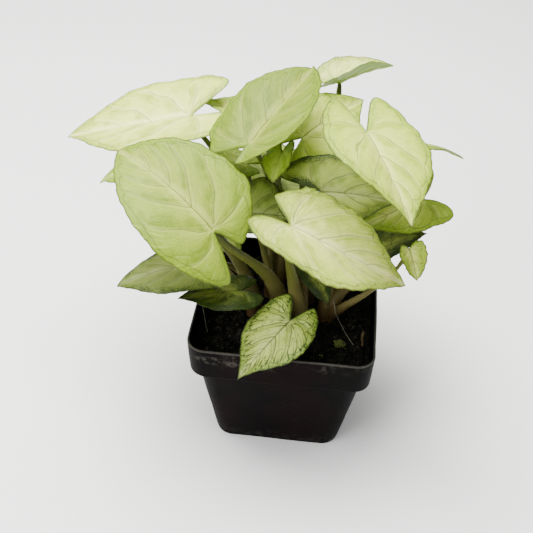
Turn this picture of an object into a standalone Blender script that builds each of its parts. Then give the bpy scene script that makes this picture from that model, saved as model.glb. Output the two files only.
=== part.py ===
"""A potted arrowhead plant: five young shoots and their leaves in a square nursery pot.

Every size below is in millimetres or degrees. The model itself is in metres, +Z up, with its origin at
the centre of the pot's underside. The side that is mostly seen faces -Y.
"""

import math
from dataclasses import dataclass

import bmesh
import bpy
import numpy as np
from mathutils import Matrix, Vector

MM = 0.001
GAP = 0.3

# The pot: thin, square, tapered, stepped out to a wider band at the top, with rounded upright edges
# and four drain holes
POT_TOP = 70.0
POT_BASE = 50.0
POT_HEIGHT = 57.0
POT_BAND = 14.0
POT_BAND_FOOT = 68.4
POT_STEP_RISE = 3.0
POT_STEP_FOOT = 62.4
POT_SIDE = ((0.0, POT_BASE / 2.0),
            (POT_HEIGHT - POT_BAND - POT_STEP_RISE, POT_STEP_FOOT / 2.0),
            (POT_HEIGHT - POT_BAND, POT_BAND_FOOT / 2.0),
            (POT_HEIGHT, POT_TOP / 2.0))
POT_WALL = 0.8
POT_CORNER = 7.0
POT_CORNER_STEPS = 4
DRAIN_RADIUS = 3.0
DRAIN_OFFSET = 14.0

# The potting mix: fills the pot to a lumpy surface a little under the rim
SOIL_TOP = 49.0
SOIL_LUMP = 0.9
SOIL_CELLS = 18
SOIL_CORNER_CUT = 0.40

# The shoots: a short stem each, standing in a plain hole in the mix
STEM_TAPER = 0.75
STEM_DEPTH = 8.0
STEM_RISE = 7.0
STEM_SIDES = 14
HOLE_CLEARANCE = 0.5
SHOOTS = {
    "left": (-12.0, -3.0, 2.8),
    "middle": (-2.0, -2.0, 4.0),
    "front": (6.0, -9.0, 3.4),
    "right": (15.0, -2.0, 3.2),
    "back": (5.0, 8.0, 4.2),
    "rear": (-5.5, 9.0, 4.0),
}

# The stalks: from a sheathing base to a slim neck under the blade
STALK_STEPS = 7
STALK_BASE_RADIUS = 2.0
STALK_NECK_RADIUS = 0.95
STALK_CROWDING = 0.85

# The blades: stations along each half's edge, rows from the midrib to the edge
BLADE_THICKNESS = 0.6
EDGE_STATIONS = 13
BLADE_ROWS = 3
VEIN_SLANT = 0.65
NOTCH_DEPTH = 0.03
EDGE_WAVES = 2.5

LEAF_PALE = (0.60, 0.72, 0.36)
LEAF_MOTTLED = (0.30, 0.42, 0.20)
LEAF_FRESH = (0.42, 0.60, 0.14)
STALK_GREEN = (0.44, 0.50, 0.24)
POT_BLACK = (0.018, 0.017, 0.018)
SOIL_BLACK = (0.016, 0.014, 0.012)


@dataclass(frozen=True)
class Leaf:
    """One leaf: the place of its blade, the blade's form and the way of its stalk.

    The pairs are for the left and the right half, seen from above with the tip ahead. Widths, the widest
    point and the lobes are shares of the blade's length from the joint to the tip.
    """

    name: str
    shoot: str
    joint: tuple
    tip: tuple
    roll: float = 0.0
    bend: float = 18.0
    fold: tuple = (14.0, 14.0)
    droop: tuple = (8.0, 8.0)
    sag: float = 8.0
    twist: float = 0.0
    width: tuple = (0.44, 0.44)
    widest: float = 0.14
    lobe_back: tuple = (0.38, 0.38)
    lobe_out: tuple = (0.25, 0.25)
    point: float = 32.0
    full: float = 0.40
    hip: float = 0.42
    notch: tuple = (24.0, 24.0)
    wave: float = 0.5
    phase: float = 0.0
    entry: float = 0.6
    sway: tuple = (0.0, 0.0, 0.0)
    stalk: float = 1.0
    colour: tuple = LEAF_PALE


LEAVES = (
    Leaf("blade_upper_left", "rear", (-44, 32, 115), (-94, 36, 98), roll=-5, bend=2, fold=(22, 22),
         droop=(12, 12), sag=2, width=(0.45, 0.47), widest=0.16, lobe_back=(0.45, 0.24),
         lobe_out=(0.24, 0.33), point=44, full=0.30, hip=0.30, notch=(6, 50), wave=0.7, phase=0.4,
         sway=(0, 2, 6)),
    Leaf("blade_left_front", "middle", (-26, -25, 106), (-63, -2, 119), roll=-15, bend=46, fold=(19, 18),
         droop=(9, 8), sag=18, twist=-5, width=(0.47, 0.46), lobe_back=(0.37, 0.22),
         lobe_out=(0.18, 0.14), point=52, full=0.37, hip=0.28, notch=(27, 36), phase=1.5,
         sway=(2, 0, 0), stalk=1.25),
    Leaf("blade_top_middle", "rear", (-17, 3, 123), (2, 38, 136), roll=-14, bend=12, fold=(24, 16),
         droop=(18, 4), sag=-2, twist=16, width=(0.46, 0.45), widest=0.06, lobe_back=(0.16, 0.25),
         lobe_out=(0.31, 0.04), point=58, full=0.40, hip=0.47, notch=(60, 6), wave=0.6, phase=2.2,
         sway=(2, 13, 4)),
    Leaf("blade_right_front", "back", (23, 1, 133), (39, -35, 122), roll=-14, bend=14, fold=(19, 18),
         droop=(9, 19), sag=0, twist=-9, width=(0.45, 0.46), widest=0.25, lobe_back=(0.38, 0.41),
         lobe_out=(0.27, 0.15), point=30, full=0.38, hip=0.44, notch=(32, 1), wave=0.6, phase=0.9,
         entry=0.3, sway=(2, 20, 8), stalk=1.2),
    Leaf("blade_centre_front", "front", (1, -23, 109), (42, -21, 86), roll=4, bend=0, fold=(19, 18),
         droop=(6, 12), sag=-6, twist=9, width=(0.43, 0.43), widest=0.20, lobe_back=(0.18, 0.38),
         lobe_out=(0.20, 0.36), point=40, full=0.24, hip=0.32, notch=(58, 12), wave=0.8, phase=3.0,
         sway=(-2, 5, 0), stalk=1.15),
    Leaf("blade_low_front", "front", (2, -23, 65), (-14, -45, 55), bend=6, fold=(8, 8), droop=(11, 11),
         sag=6, twist=3, width=(0.46, 0.45), widest=0.20, lobe_back=(0.34, 0.30), lobe_out=(0.16, 0.30),
         point=28, full=0.44, hip=0.38, notch=(18, 36), wave=0.35, phase=0.2, stalk=0.7),
    Leaf("blade_middle_mottled", "back", (9.5, 3, 106), (38, 9, 100), roll=32, bend=28, fold=(12, 8),
         droop=(6, 8), sag=8, twist=4, width=(0.46, 0.48), widest=0.07, lobe_back=(0.52, 0.50),
         lobe_out=(0.24, 0.26), point=24, full=0.56, notch=(24, 24), wave=0.4, colour=LEAF_MOTTLED),
    Leaf("blade_right_low", "right", (47, 18, 96), (24, 4, 90), roll=-36, bend=20, width=(0.42, 0.46),
         lobe_back=(0.30, 0.32), lobe_out=(0.38, 0.38), point=28, hip=0.55, wave=0.3, sway=(2, 6, -4)),
    Leaf("blade_right_dark", "right", (33, 9, 77), (50, 8, 88), roll=14, colour=LEAF_MOTTLED),
    Leaf("blade_right_small", "right", (43, -6, 90.5), (46.5, -14, 83), stalk=0.7,
         lobe_back=(0.16, 0.10), lobe_out=(0.50, 0.34), width=(0.50, 0.42), point=50,
         colour=LEAF_MOTTLED, sway=(2, -4, -8)),
    Leaf("blade_left_low_mottled", "left", (-34, -13, 79), (-62, -22, 73), roll=4, bend=30, fold=(4, 4),
         droop=(14, 14), width=(0.45, 0.45), widest=0.15, point=48, colour=LEAF_MOTTLED,
         sway=(0, 13, 2), stalk=0.8),
    Leaf("blade_left_low_dark", "left", (-17, -15, 71), (-39, -24, 72), bend=6, fold=(2, 2),
         droop=(10, 10), sag=10, width=(0.44, 0.44), colour=LEAF_MOTTLED, stalk=0.8,
         lobe_back=(0.30, 0.30)),
    Leaf("blade_middle_shaded", "middle", (-16, 2, 94), (2, -2, 97), roll=34, width=(0.74, 0.46),
         colour=LEAF_MOTTLED, stalk=0.8),
    Leaf("blade_middle_small", "rear", (-6, 8, 118), (-8, -3, 112), roll=24, twist=-16,
         width=(0.46, 0.48), point=50, full=0.50, notch=(30, 30), sway=(-4, 6, 0), stalk=0.6,
         colour=LEAF_FRESH),
    Leaf("blade_top_right_wide", "back", (0.5, 25, 114.5), (22, 47, 120), roll=14, bend=26,
         fold=(12, 11), sag=6, twist=5, width=(0.50, 0.51), full=0.46, lobe_back=(0.32, 0.44),
         lobe_out=(0.20, 0.30)),
    Leaf("blade_back_left_high", "rear", (-19, 40, 112), (-43, 44, 115), roll=8, bend=4, fold=(16, 16),
         droop=(2, 2), width=(0.42, 0.42), sway=(8, 0, 4)),
    Leaf("blade_top_folded", "back", (12, 52.5, 123.8), (33, 68, 124.6), roll=-4, fold=(28, 52),
         droop=(4, 4), width=(0.40, 0.34), notch=(30, 30), colour=LEAF_FRESH, sway=(2, 0, 2)),
    Leaf("blade_far_right", "back", (37, 14, 123), (60, 22, 113), roll=-26, bend=24, fold=(0, 4),
         droop=(18, 15), width=(0.46, 0.46), sway=(0, 12, 0)),
    Leaf("blade_far_left", "left", (-53, 6, 110), (-74, 8, 97), roll=-5, bend=20),
    Leaf("blade_right_lowest", "front", (8, -3, 74), (16, -10, 63), stalk=0.8, colour=LEAF_MOTTLED),
    Leaf("blade_back_left", "rear", (-20, 17, 105.5), (-42, 20, 102), fold=(8, 8), width=(0.46, 0.36),
         lobe_back=(0.28, 0.42), lobe_out=(0.25, 0.28)),
    Leaf("blade_back_middle", "rear", (-8.5, 34.5, 86.5), (-12, 70, 83), fold=(8, 8),
         width=(0.55, 0.46)),
    Leaf("blade_back_right", "right", (28, 34, 84), (44, 56, 72), sway=(-2, 0, 4)),
    Leaf("blade_back_low_left", "left", (-32, 12, 66), (-54, 24, 58), stalk=0.8, colour=LEAF_MOTTLED),
    Leaf("blade_back_low_right", "back", (20, 25, 68), (32, 50, 58), stalk=0.8, colour=LEAF_MOTTLED),
)


def clear_scene():
    """Remove the objects that the scene starts with."""
    for item in list(bpy.data.objects):
        bpy.data.objects.remove(item, do_unlink=True)


def new_collection(name):
    """Add a collection to the scene."""
    collection = bpy.data.collections.new(name)
    bpy.context.scene.collection.children.link(collection)
    return collection


def new_material(name, colour, roughness, metallic=0.0):
    """Make a plain finish from a colour, a roughness and a metallic value."""
    material = bpy.data.materials.new(name)
    material.use_nodes = True
    shader = material.node_tree.nodes["Principled BSDF"]
    shader.inputs["Base Color"].default_value = (*colour, 1.0)
    shader.inputs["Roughness"].default_value = roughness
    shader.inputs["Metallic"].default_value = metallic
    return material


def new_object(name, mesh, collection, material=None):
    """Put a mesh in a collection as a named object."""
    item = bpy.data.objects.new(name, mesh)
    collection.objects.link(item)
    if material is not None:
        mesh.materials.clear()
        mesh.materials.append(material)
    return item


def mesh_from(bm, name):
    """Turn a working mesh into a smooth shaded mesh."""
    mesh = bpy.data.meshes.new(name)
    bm.to_mesh(mesh)
    bm.free()
    mesh.shade_smooth()
    mesh.set_sharp_from_angle(angle=math.radians(40.0))
    return mesh


def new_cutter(name, place, radius, depth, cutters):
    """Add an upright cylinder that only cuts, centred on a place."""
    bm = bmesh.new()
    bmesh.ops.create_cone(bm, cap_ends=True, segments=STEM_SIDES, radius1=radius, radius2=radius,
                          depth=depth, matrix=Matrix.Translation(place))
    cutter = new_object(name, mesh_from(bm, name), cutters)
    cutter.hide_render = True
    cutter.display_type = "WIRE"
    return cutter


def cut(item, cutter):
    """Cut one object's shape out of another."""
    modifier = item.modifiers.new("cut_" + cutter.name, "BOOLEAN")
    modifier.operation = "DIFFERENCE"
    modifier.solver = "EXACT"
    modifier.object = cutter


def pot_lines(depth):
    """Give the pot's side as three lines, each its half width at the foot and its slope."""
    lines = []
    for (low, near), (high, far) in zip(POT_SIDE, POT_SIDE[1:]):
        slope = (far - near) / (high - low)
        lines.append((near - slope * low - depth * math.hypot(1.0, slope), slope))
    return lines


def pot_half(height, depth=0.0):
    """Give half the pot's width at a height, or half the room a depth inside its outer face."""
    body, step, band = (start + slope * height for start, slope in pot_lines(depth))
    return min(max(body, step), band)


def pot_bends(depth):
    """Give the two heights at which the pot's side changes its slope."""
    lines = pot_lines(depth)
    return [(above[0] - below[0]) / (below[1] - above[1]) for below, above in zip(lines, lines[1:])]


def rounded_square(half, corner):
    """Give the places round a square with rounded corners."""
    places = []
    for quarter in range(4):
        middle = math.pi * (0.5 * quarter + 0.25)
        x = math.copysign(half - corner, math.cos(middle))
        y = math.copysign(half - corner, math.sin(middle))
        for step in range(POT_CORNER_STEPS + 1):
            turn = math.pi / 2.0 * (quarter + step / POT_CORNER_STEPS)
            places.append((x + corner * math.cos(turn), y + corner * math.sin(turn)))
    return places


def make_pot(collection, cutters):
    """Make the pot as a thin shell, open at the top, with drain holes clear of its centre."""
    bm = bmesh.new()
    below = None
    for height, half in POT_SIDE:
        ring = [bm.verts.new((x * MM, y * MM, height * MM)) for x, y in rounded_square(half, POT_CORNER)]
        if below is None:
            bm.faces.new(ring[::-1])
        else:
            for index, vert in enumerate(ring):
                after = (index + 1) % len(ring)
                bm.faces.new((below[index], below[after], ring[after], vert))
        below = ring
    pot = new_object("pot", mesh_from(bm, "pot"), collection, new_material("pot", POT_BLACK, 0.42))
    shell = pot.modifiers.new("wall", "SOLIDIFY")
    shell.thickness = POT_WALL * MM
    shell.offset = -1.0
    shell.use_even_offset = True
    for index, (x, y) in enumerate(((-1, -1), (1, -1), (1, 1), (-1, 1))):
        place = Vector((x * DRAIN_OFFSET * MM, y * DRAIN_OFFSET * MM, 0.0))
        cut(pot, new_cutter("drain_%d" % index, place, DRAIN_RADIUS * MM, 6.0 * MM, cutters))
    return pot


def soil_height(x, y):
    """Give the height of the mix at a place across the pot, all in millimetres."""
    broad = math.sin(0.19 * x + 1.3) * math.cos(0.16 * y - 0.4)
    lumps = math.sin(0.71 * x + 0.9 * math.sin(0.53 * y)) * math.sin(0.63 * y + 1.1 * math.cos(0.37 * x))
    fine = math.sin(1.37 * x + 2.0) * math.sin(1.51 * y + 0.7)
    return SOIL_TOP + SOIL_LUMP * (0.7 * broad + 0.8 * lumps + 0.45 * fine)


def soil_place(u, v, height):
    """Give the place of a point of the mix from its shares across the pot, in metres."""
    half = pot_half(height, POT_WALL + GAP)
    trim = SOIL_CORNER_CUT * POT_CORNER / half
    x = half * u * (1.0 - trim * v ** 6)
    y = half * v * (1.0 - trim * u ** 6)
    return x * MM, y * MM


def soil_walls(bm):
    """Add the mix's sides under the grid of its top, and give each new point's height."""
    inside = POT_WALL + GAP
    low, high = pot_bends(inside)
    heights = {}
    edges = [edge for edge in bm.edges if edge.is_boundary]
    for height in (high, low, inside):
        added = bmesh.ops.extrude_edge_only(bm, edges=edges)["geom"]
        heights.update({item: height for item in added if isinstance(item, bmesh.types.BMVert)})
        edges = [item for item in added if isinstance(item, bmesh.types.BMEdge)
                 and all(heights.get(vert) == height for vert in item.verts)]
    return heights


def make_soil(collection, cutters):
    """Make the mix as one block with a lumpy top and a plain hole for each shoot."""
    bm = bmesh.new()
    bmesh.ops.create_grid(bm, x_segments=SOIL_CELLS, y_segments=SOIL_CELLS, size=1.0)
    heights = soil_walls(bm)
    for vert in bm.verts:
        u, v = vert.co.x, vert.co.y
        if vert in heights:
            vert.co = Vector((*soil_place(u, v, heights[vert]), heights[vert] * MM))
        else:
            x, y = soil_place(u, v, SOIL_TOP - 2.0 * SOIL_LUMP)
            vert.co = Vector((x, y, soil_height(x / MM, y / MM) * MM))
    loop = [edge for edge in bm.edges if edge.is_boundary]
    bmesh.ops.edgeloop_fill(bm, edges=loop)
    bmesh.ops.recalc_face_normals(bm, faces=bm.faces)
    soil = new_object("soil", mesh_from(bm, "soil"), collection, new_material("soil", SOIL_BLACK, 0.95))
    for name, (x, y, radius) in SHOOTS.items():
        depth = 2.0 * (STEM_DEPTH + GAP)
        place = Vector((x * MM, y * MM, SOIL_TOP * MM))
        cut(soil, new_cutter("hole_" + name, place, (radius + HOLE_CLEARANCE) * MM, depth * MM, cutters))
    return soil


def cubic(start, leave, arrive, end, count):
    """Give points along the smooth curve between two places and their two handles."""
    t = np.linspace(0.0, 1.0, count)[:, None]
    return (1 - t) ** 3 * start + 3 * (1 - t) ** 2 * t * leave + 3 * (1 - t) * t ** 2 * arrive + t ** 3 * end


def midrib_length(leaf):
    """Give the length of the bent midrib from the joint to the tip."""
    chord = float(np.linalg.norm(np.subtract(leaf.tip, leaf.joint)))
    half = math.radians(leaf.bend) / 2.0
    return chord if abs(half) < 1e-4 else chord * half / math.sin(half)


def half_edge(leaf, side, length):
    """Give one half's edge in the flat, from the tip round the lobe to the notch."""
    point, notch = math.radians(leaf.point), math.radians(leaf.notch[side])
    belly = np.array([leaf.widest, leaf.width[side]])
    lobe = np.array([-leaf.lobe_back[side], leaf.lobe_out[side]])
    tip, root = np.array([1.0, 0.0]), np.array([-NOTCH_DEPTH, 0.0])
    reach = float(np.hypot(*lobe))
    turn = np.array([-lobe[1], lobe[0]]) / reach
    ahead = 1.0 - leaf.widest
    front = cubic(tip, tip + leaf.full * ahead * np.array([-math.cos(point), math.sin(point)]),
                  belly + np.array([0.45 * ahead, 0.0]), belly, 40)
    flank = cubic(belly, belly - np.array([leaf.hip * (leaf.widest - lobe[0]), 0.0]),
                  lobe - 0.38 * leaf.width[side] * turn, lobe, 40)
    inner = cubic(lobe, lobe + min(0.28 * leaf.width[side], 0.45 * lobe[1]) * turn,
                  root + 0.45 * reach * np.array([-math.cos(notch), math.sin(notch)]), root, 40)
    edge = np.vstack([front, flank[1:], inner[1:]]) * length
    walked = np.r_[0.0, np.cumsum(np.hypot(*np.diff(edge, axis=0).T))]
    stations = np.linspace(0.0, walked[-1], EDGE_STATIONS)
    return np.stack([np.interp(stations, walked, edge[:, axis]) for axis in (0, 1)], axis=-1)


def arc(distance, slope, turn):
    """Give how far across and up a strip reaches that starts at a slope and turns as it goes."""
    rate = np.radians(turn) / 10.0
    if abs(rate) < 1e-6:
        return distance * np.cos(slope), distance * np.sin(slope)
    ends = slope - rate * distance
    return (np.sin(slope) - np.sin(ends)) / rate, (np.cos(ends) - np.cos(slope)) / rate


def midrib_arc(leaf, along, length):
    """Give the places and slopes of the midrib's line, which also runs back between the lobes."""
    bend = math.radians(leaf.bend)
    slope = bend / 2.0 - bend * along / length
    if abs(bend) < 1e-4:
        ahead, up = along.copy(), np.zeros_like(along)
    else:
        radius = length / bend
        ahead = radius * (math.sin(bend / 2.0) - np.sin(slope))
        up = radius * (np.cos(slope) - math.cos(bend / 2.0))
    behind = along < 0.0
    back, rise = arc(-along[behind], -bend / 2.0, leaf.sag)
    ahead[behind], up[behind] = -back, rise
    slope[behind] = bend / 2.0 - np.radians(leaf.sag) / 10.0 * along[behind]
    return ahead, up, slope


def blade_axes(leaf):
    """Give the blade's own directions: ahead to the tip, across to the left and out of its face."""
    ahead = np.subtract(leaf.tip, leaf.joint) / np.linalg.norm(np.subtract(leaf.tip, leaf.joint))
    level = np.cross([0.0, 0.0, 1.0], ahead)
    level /= np.linalg.norm(level)
    upright = np.cross(ahead, level)
    roll = math.radians(leaf.roll)
    across = level * math.cos(roll) + upright * math.sin(roll)
    return ahead, across, np.cross(ahead, across)


def vein_roots(edges, length):
    """Give the places along the midrib where the side veins of both halves start, one per station."""
    starts = [np.clip(edge[:, 0] - VEIN_SLANT * edge[:, 1], 0.0, length) for edge in edges]
    return np.minimum.accumulate((starts[0] + starts[1]) / 2.0)


def blade_points(leaf, side, length, edge, roots):
    """Give one half of the blade as a grid of places, edge stations by rows out from the midrib."""
    share = np.linspace(0.0, 1.0, BLADE_ROWS + 1)[None, :]
    root = roots[:, None]
    along = (root + share * (edge[:, :1] - root)).ravel()
    out = (share * edge[:, 1:]).ravel()
    across, rise = arc(out, math.radians(leaf.fold[side]), leaf.droop[side])
    station = np.linspace(0.0, 1.0, EDGE_STATIONS)[:, None]
    ripple = np.sin(2.0 * math.pi * EDGE_WAVES * station + leaf.phase + 2.0 * side)
    quiet = np.sin(math.pi * station) ** 0.5
    rise = rise + (leaf.wave * quiet * ripple * share ** 2).ravel()
    across = across if side == 0 else -across
    ahead, up, slope = midrib_arc(leaf, along, length)
    turn = math.radians(leaf.twist) * along / length
    across, rise = across * np.cos(turn) - rise * np.sin(turn), across * np.sin(turn) + rise * np.cos(turn)
    forward, left, face = blade_axes(leaf)
    place = (np.array(leaf.joint, float) + np.outer(ahead - rise * np.sin(slope), forward)
             + np.outer(across, left) + np.outer(up + rise * np.cos(slope), face))
    return place.reshape(EDGE_STATIONS, BLADE_ROWS + 1, 3)


def add_half(bm, grid, flip):
    """Add one half of a blade to a working mesh as a net of four sided faces."""
    verts = [[bm.verts.new(Vector(place) * MM) for place in row] for row in grid]
    for this, following in zip(verts, verts[1:]):
        for step in range(len(this) - 1):
            corners = [this[step], this[step + 1], following[step + 1], following[step]]
            bm.faces.new(corners[::-1] if flip else corners)


def make_blade(leaf, collection):
    """Make a leaf's blade as a thin shell on its arched, waved surface."""
    length = midrib_length(leaf)
    edges = [half_edge(leaf, side, length) for side in (0, 1)]
    roots = vein_roots(edges, length)
    bm = bmesh.new()
    for side in (0, 1):
        add_half(bm, blade_points(leaf, side, length, edges[side], roots), flip=side == 1)
    bmesh.ops.remove_doubles(bm, verts=bm.verts, dist=0.01 * MM)
    bmesh.ops.triangulate(bm, faces=bm.faces)
    mesh = mesh_from(bm, leaf.name)
    blade = new_object(leaf.name, mesh, collection, new_material(leaf.name, leaf.colour, 0.42))
    shell = blade.modifiers.new("thickness", "SOLIDIFY")
    shell.thickness = BLADE_THICKNESS * MM
    shell.offset = 0.0
    return blade


def stalk_path(leaf):
    """Give a stalk's places from its foot in the shoot to just under the blade, in millimetres."""
    foot_x, foot_y, radius = SHOOTS[leaf.shoot]
    spread = max(0.0, STALK_CROWDING * radius - STALK_BASE_RADIUS * leaf.stalk)
    joint = np.array(leaf.joint, float)
    lean = joint[:2] - np.array([foot_x, foot_y])
    lean = lean / max(1.0, float(np.hypot(*lean)))
    foot = np.array([foot_x + spread * lean[0], foot_y + spread * lean[1], SOIL_TOP])
    span = float(np.linalg.norm(joint - foot))
    face = blade_axes(leaf)[2]
    entry = leaf.entry * face + (joint - foot) / span
    entry = entry / np.linalg.norm(entry)
    square = float(entry @ face)
    neck = STALK_NECK_RADIUS * leaf.stalk
    stand_off = (BLADE_THICKNESS / 2.0 + 3.3 * GAP + neck * math.sqrt(1.0 - square ** 2)) / square
    end = joint - entry * stand_off
    sway = np.array(leaf.sway, float)
    leave = foot + np.array([2.0 * lean[0], 2.0 * lean[1], 0.42 * span]) + sway
    return cubic(foot, leave, end - 0.30 * span * entry + sway, end, STALK_STEPS)


def make_stalk(leaf, collection):
    """Make a stalk as a tapering tube and turn it into a closed mesh."""
    curve = bpy.data.curves.new("stalk_" + leaf.name, "CURVE")
    curve.dimensions = "3D"
    curve.bevel_depth = 1.0 * MM
    curve.bevel_resolution = 2
    curve.use_fill_caps = True
    spline = curve.splines.new("POLY")
    spline.points.add(STALK_STEPS - 1)
    for index, place in enumerate(stalk_path(leaf)):
        share = index / (STALK_STEPS - 1)
        thick = (STALK_BASE_RADIUS - STALK_NECK_RADIUS) * (1.0 - share) ** 1.5 + STALK_NECK_RADIUS
        spline.points[index].co = (*(place * MM), 1.0)
        spline.points[index].radius = thick * leaf.stalk
    tube = bpy.data.objects.new(curve.name, curve)
    collection.objects.link(tube)
    bpy.context.view_layer.update()
    solid = bpy.data.meshes.new_from_object(tube.evaluated_get(bpy.context.evaluated_depsgraph_get()))
    bpy.data.objects.remove(tube)
    bm = bmesh.new()
    bm.from_mesh(solid)
    bmesh.ops.remove_doubles(bm, verts=bm.verts, dist=0.001 * MM)
    bm.to_mesh(solid)
    bm.free()
    return new_object(curve.name, solid, collection)


def make_shoot(name, collection, material):
    """Make a shoot: its short stem and its leaves' stalks, grown together as one body."""
    foot_x, foot_y, radius = SHOOTS[name]
    middle = SOIL_TOP + (STEM_RISE - STEM_DEPTH) / 2.0
    bm = bmesh.new()
    bmesh.ops.create_cone(bm, cap_ends=True, segments=STEM_SIDES, radius1=radius * MM,
                          radius2=radius * STEM_TAPER * MM, depth=(STEM_RISE + STEM_DEPTH) * MM,
                          matrix=Matrix.Translation(Vector((foot_x, foot_y, middle)) * MM))
    shoot = new_object("shoot_" + name, mesh_from(bm, "shoot_" + name), collection, material)
    stalks = new_collection("stalks_" + name)
    for leaf in LEAVES:
        if leaf.shoot == name:
            make_stalk(leaf, stalks)
    union = shoot.modifiers.new("stalks", "BOOLEAN")
    union.operation = "UNION"
    union.operand_type = "COLLECTION"
    union.collection = stalks
    union.solver = "EXACT"
    union.use_self = True
    bpy.context.view_layer.update()
    grown = bpy.data.meshes.new_from_object(
        shoot.evaluated_get(bpy.context.evaluated_depsgraph_get()))
    shoot.modifiers.remove(union)
    shoot.data = grown
    grown.materials.clear()
    grown.materials.append(material)
    for item in list(stalks.objects):
        bpy.data.objects.remove(item)
    bpy.data.collections.remove(stalks)
    return shoot


def main():
    """Build the pot, the mix, the shoots and the blades."""
    clear_scene()
    plant = new_collection("arrowhead_plant")
    cutters = new_collection("cutters")
    centre = bpy.data.objects.new("arrowhead_plant", None)
    plant.objects.link(centre)
    parts = [make_pot(plant, cutters), make_soil(plant, cutters)]
    for name in SHOOTS:
        parts.append(make_shoot(name, plant, new_material("shoot_" + name, STALK_GREEN, 0.5)))
    for leaf in LEAVES:
        parts.append(make_blade(leaf, plant))
    for part in parts:
        part.parent = centre


main()
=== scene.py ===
"""A potted arrowhead plant, dressed over its CAD frame.

Sizes are in millimetres and degrees unless a name or comment says otherwise. They become metres
where a mesh is made, and the finishes and lamps are in metres.
"""

import logging
import math
from dataclasses import dataclass, field
from enum import Enum
from typing import Any, Iterable, Sequence

import bmesh
import bpy
import numpy as np
from mathutils import Matrix, Vector


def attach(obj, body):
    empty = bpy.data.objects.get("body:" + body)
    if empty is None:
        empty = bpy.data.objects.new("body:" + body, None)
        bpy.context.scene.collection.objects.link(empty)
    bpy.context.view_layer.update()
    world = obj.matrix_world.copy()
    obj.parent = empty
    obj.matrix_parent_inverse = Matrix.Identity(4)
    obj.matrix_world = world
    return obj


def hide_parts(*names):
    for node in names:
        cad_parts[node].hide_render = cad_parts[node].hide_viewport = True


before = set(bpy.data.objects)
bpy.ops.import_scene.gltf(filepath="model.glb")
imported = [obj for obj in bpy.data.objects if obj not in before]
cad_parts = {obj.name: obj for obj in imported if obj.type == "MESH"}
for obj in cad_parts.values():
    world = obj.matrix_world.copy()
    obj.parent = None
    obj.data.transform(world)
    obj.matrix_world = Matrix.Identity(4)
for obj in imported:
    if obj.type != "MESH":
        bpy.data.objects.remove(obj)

MM = 0.001
TAU = 2.0 * math.pi
LOG = logging.getLogger("arrowhead_plant")
Colour = tuple[float, float, float]
Pair = tuple[float, float]
Place = tuple[float, float, float]


# ---- Sockets and node trees written as Python ----

class Sock:
    """A node's output that takes part in sums written as Python expressions."""

    def __init__(self, graph: "Graph", socket: Any) -> None:
        """Keep the tree and the socket."""
        self.graph = graph
        self.socket = socket

    def _math(self, operation: str, *terms: Any) -> "Sock":
        """Add a Math node.

        Args:
            operation: the node's operation.
            terms: its inputs in order, as numbers or sockets.

        Returns:
            The node's output.
        """
        return self.graph.node("ShaderNodeMath", dict(enumerate(terms)), operation=operation)

    def __add__(self, other: Any) -> "Sock":
        """Add."""
        return self._math("ADD", self, other)

    __radd__ = __add__

    def __sub__(self, other: Any) -> "Sock":
        """Take away."""
        return self._math("SUBTRACT", self, other)

    def __rsub__(self, other: Any) -> "Sock":
        """Take this away from a number."""
        return self._math("SUBTRACT", other, self)

    def __mul__(self, other: Any) -> "Sock":
        """Multiply."""
        return self._math("MULTIPLY", self, other)

    __rmul__ = __mul__

    def __truediv__(self, other: Any) -> "Sock":
        """Divide."""
        return self._math("DIVIDE", self, other)

    def __rtruediv__(self, other: Any) -> "Sock":
        """Divide a number by this."""
        return self._math("DIVIDE", other, self)

    def __pow__(self, other: Any) -> "Sock":
        """Raise to a power."""
        return self._math("POWER", self, other)

    def __abs__(self) -> "Sock":
        """Drop the sign."""
        return self._math("ABSOLUTE", self)

    def fract(self) -> "Sock":
        """Keep what follows the decimal point."""
        return self._math("FRACT", self)

    def least(self, other: Any) -> "Sock":
        """Take the smaller of two values."""
        return self._math("MINIMUM", self, other)

    def most(self, other: Any) -> "Sock":
        """Take the larger of two values."""
        return self._math("MAXIMUM", self, other)

    def step(self, low: float, high: float) -> "Sock":
        """Rise smoothly from 0 to 1.

        Args:
            low: where the rise starts.
            high: where it ends; a fall if it is under low.

        Returns:
            The smooth share.
        """
        ends = {"Value": self, "From Min": low, "From Max": high, "To Min": 0.0, "To Max": 1.0}
        return self.graph.node("ShaderNodeMapRange", ends, interpolation_type="SMOOTHSTEP")

    def line(self, width: Any) -> "Sock":
        """Draw a line where this distance is small.

        Args:
            width: the distance at which the line has faded out.

        Returns:
            1 on the line, 0 away from it.
        """
        share = (1.0 - abs(self) / width).most(0.0)
        return share * share * (3.0 - 2.0 * share)


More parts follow.
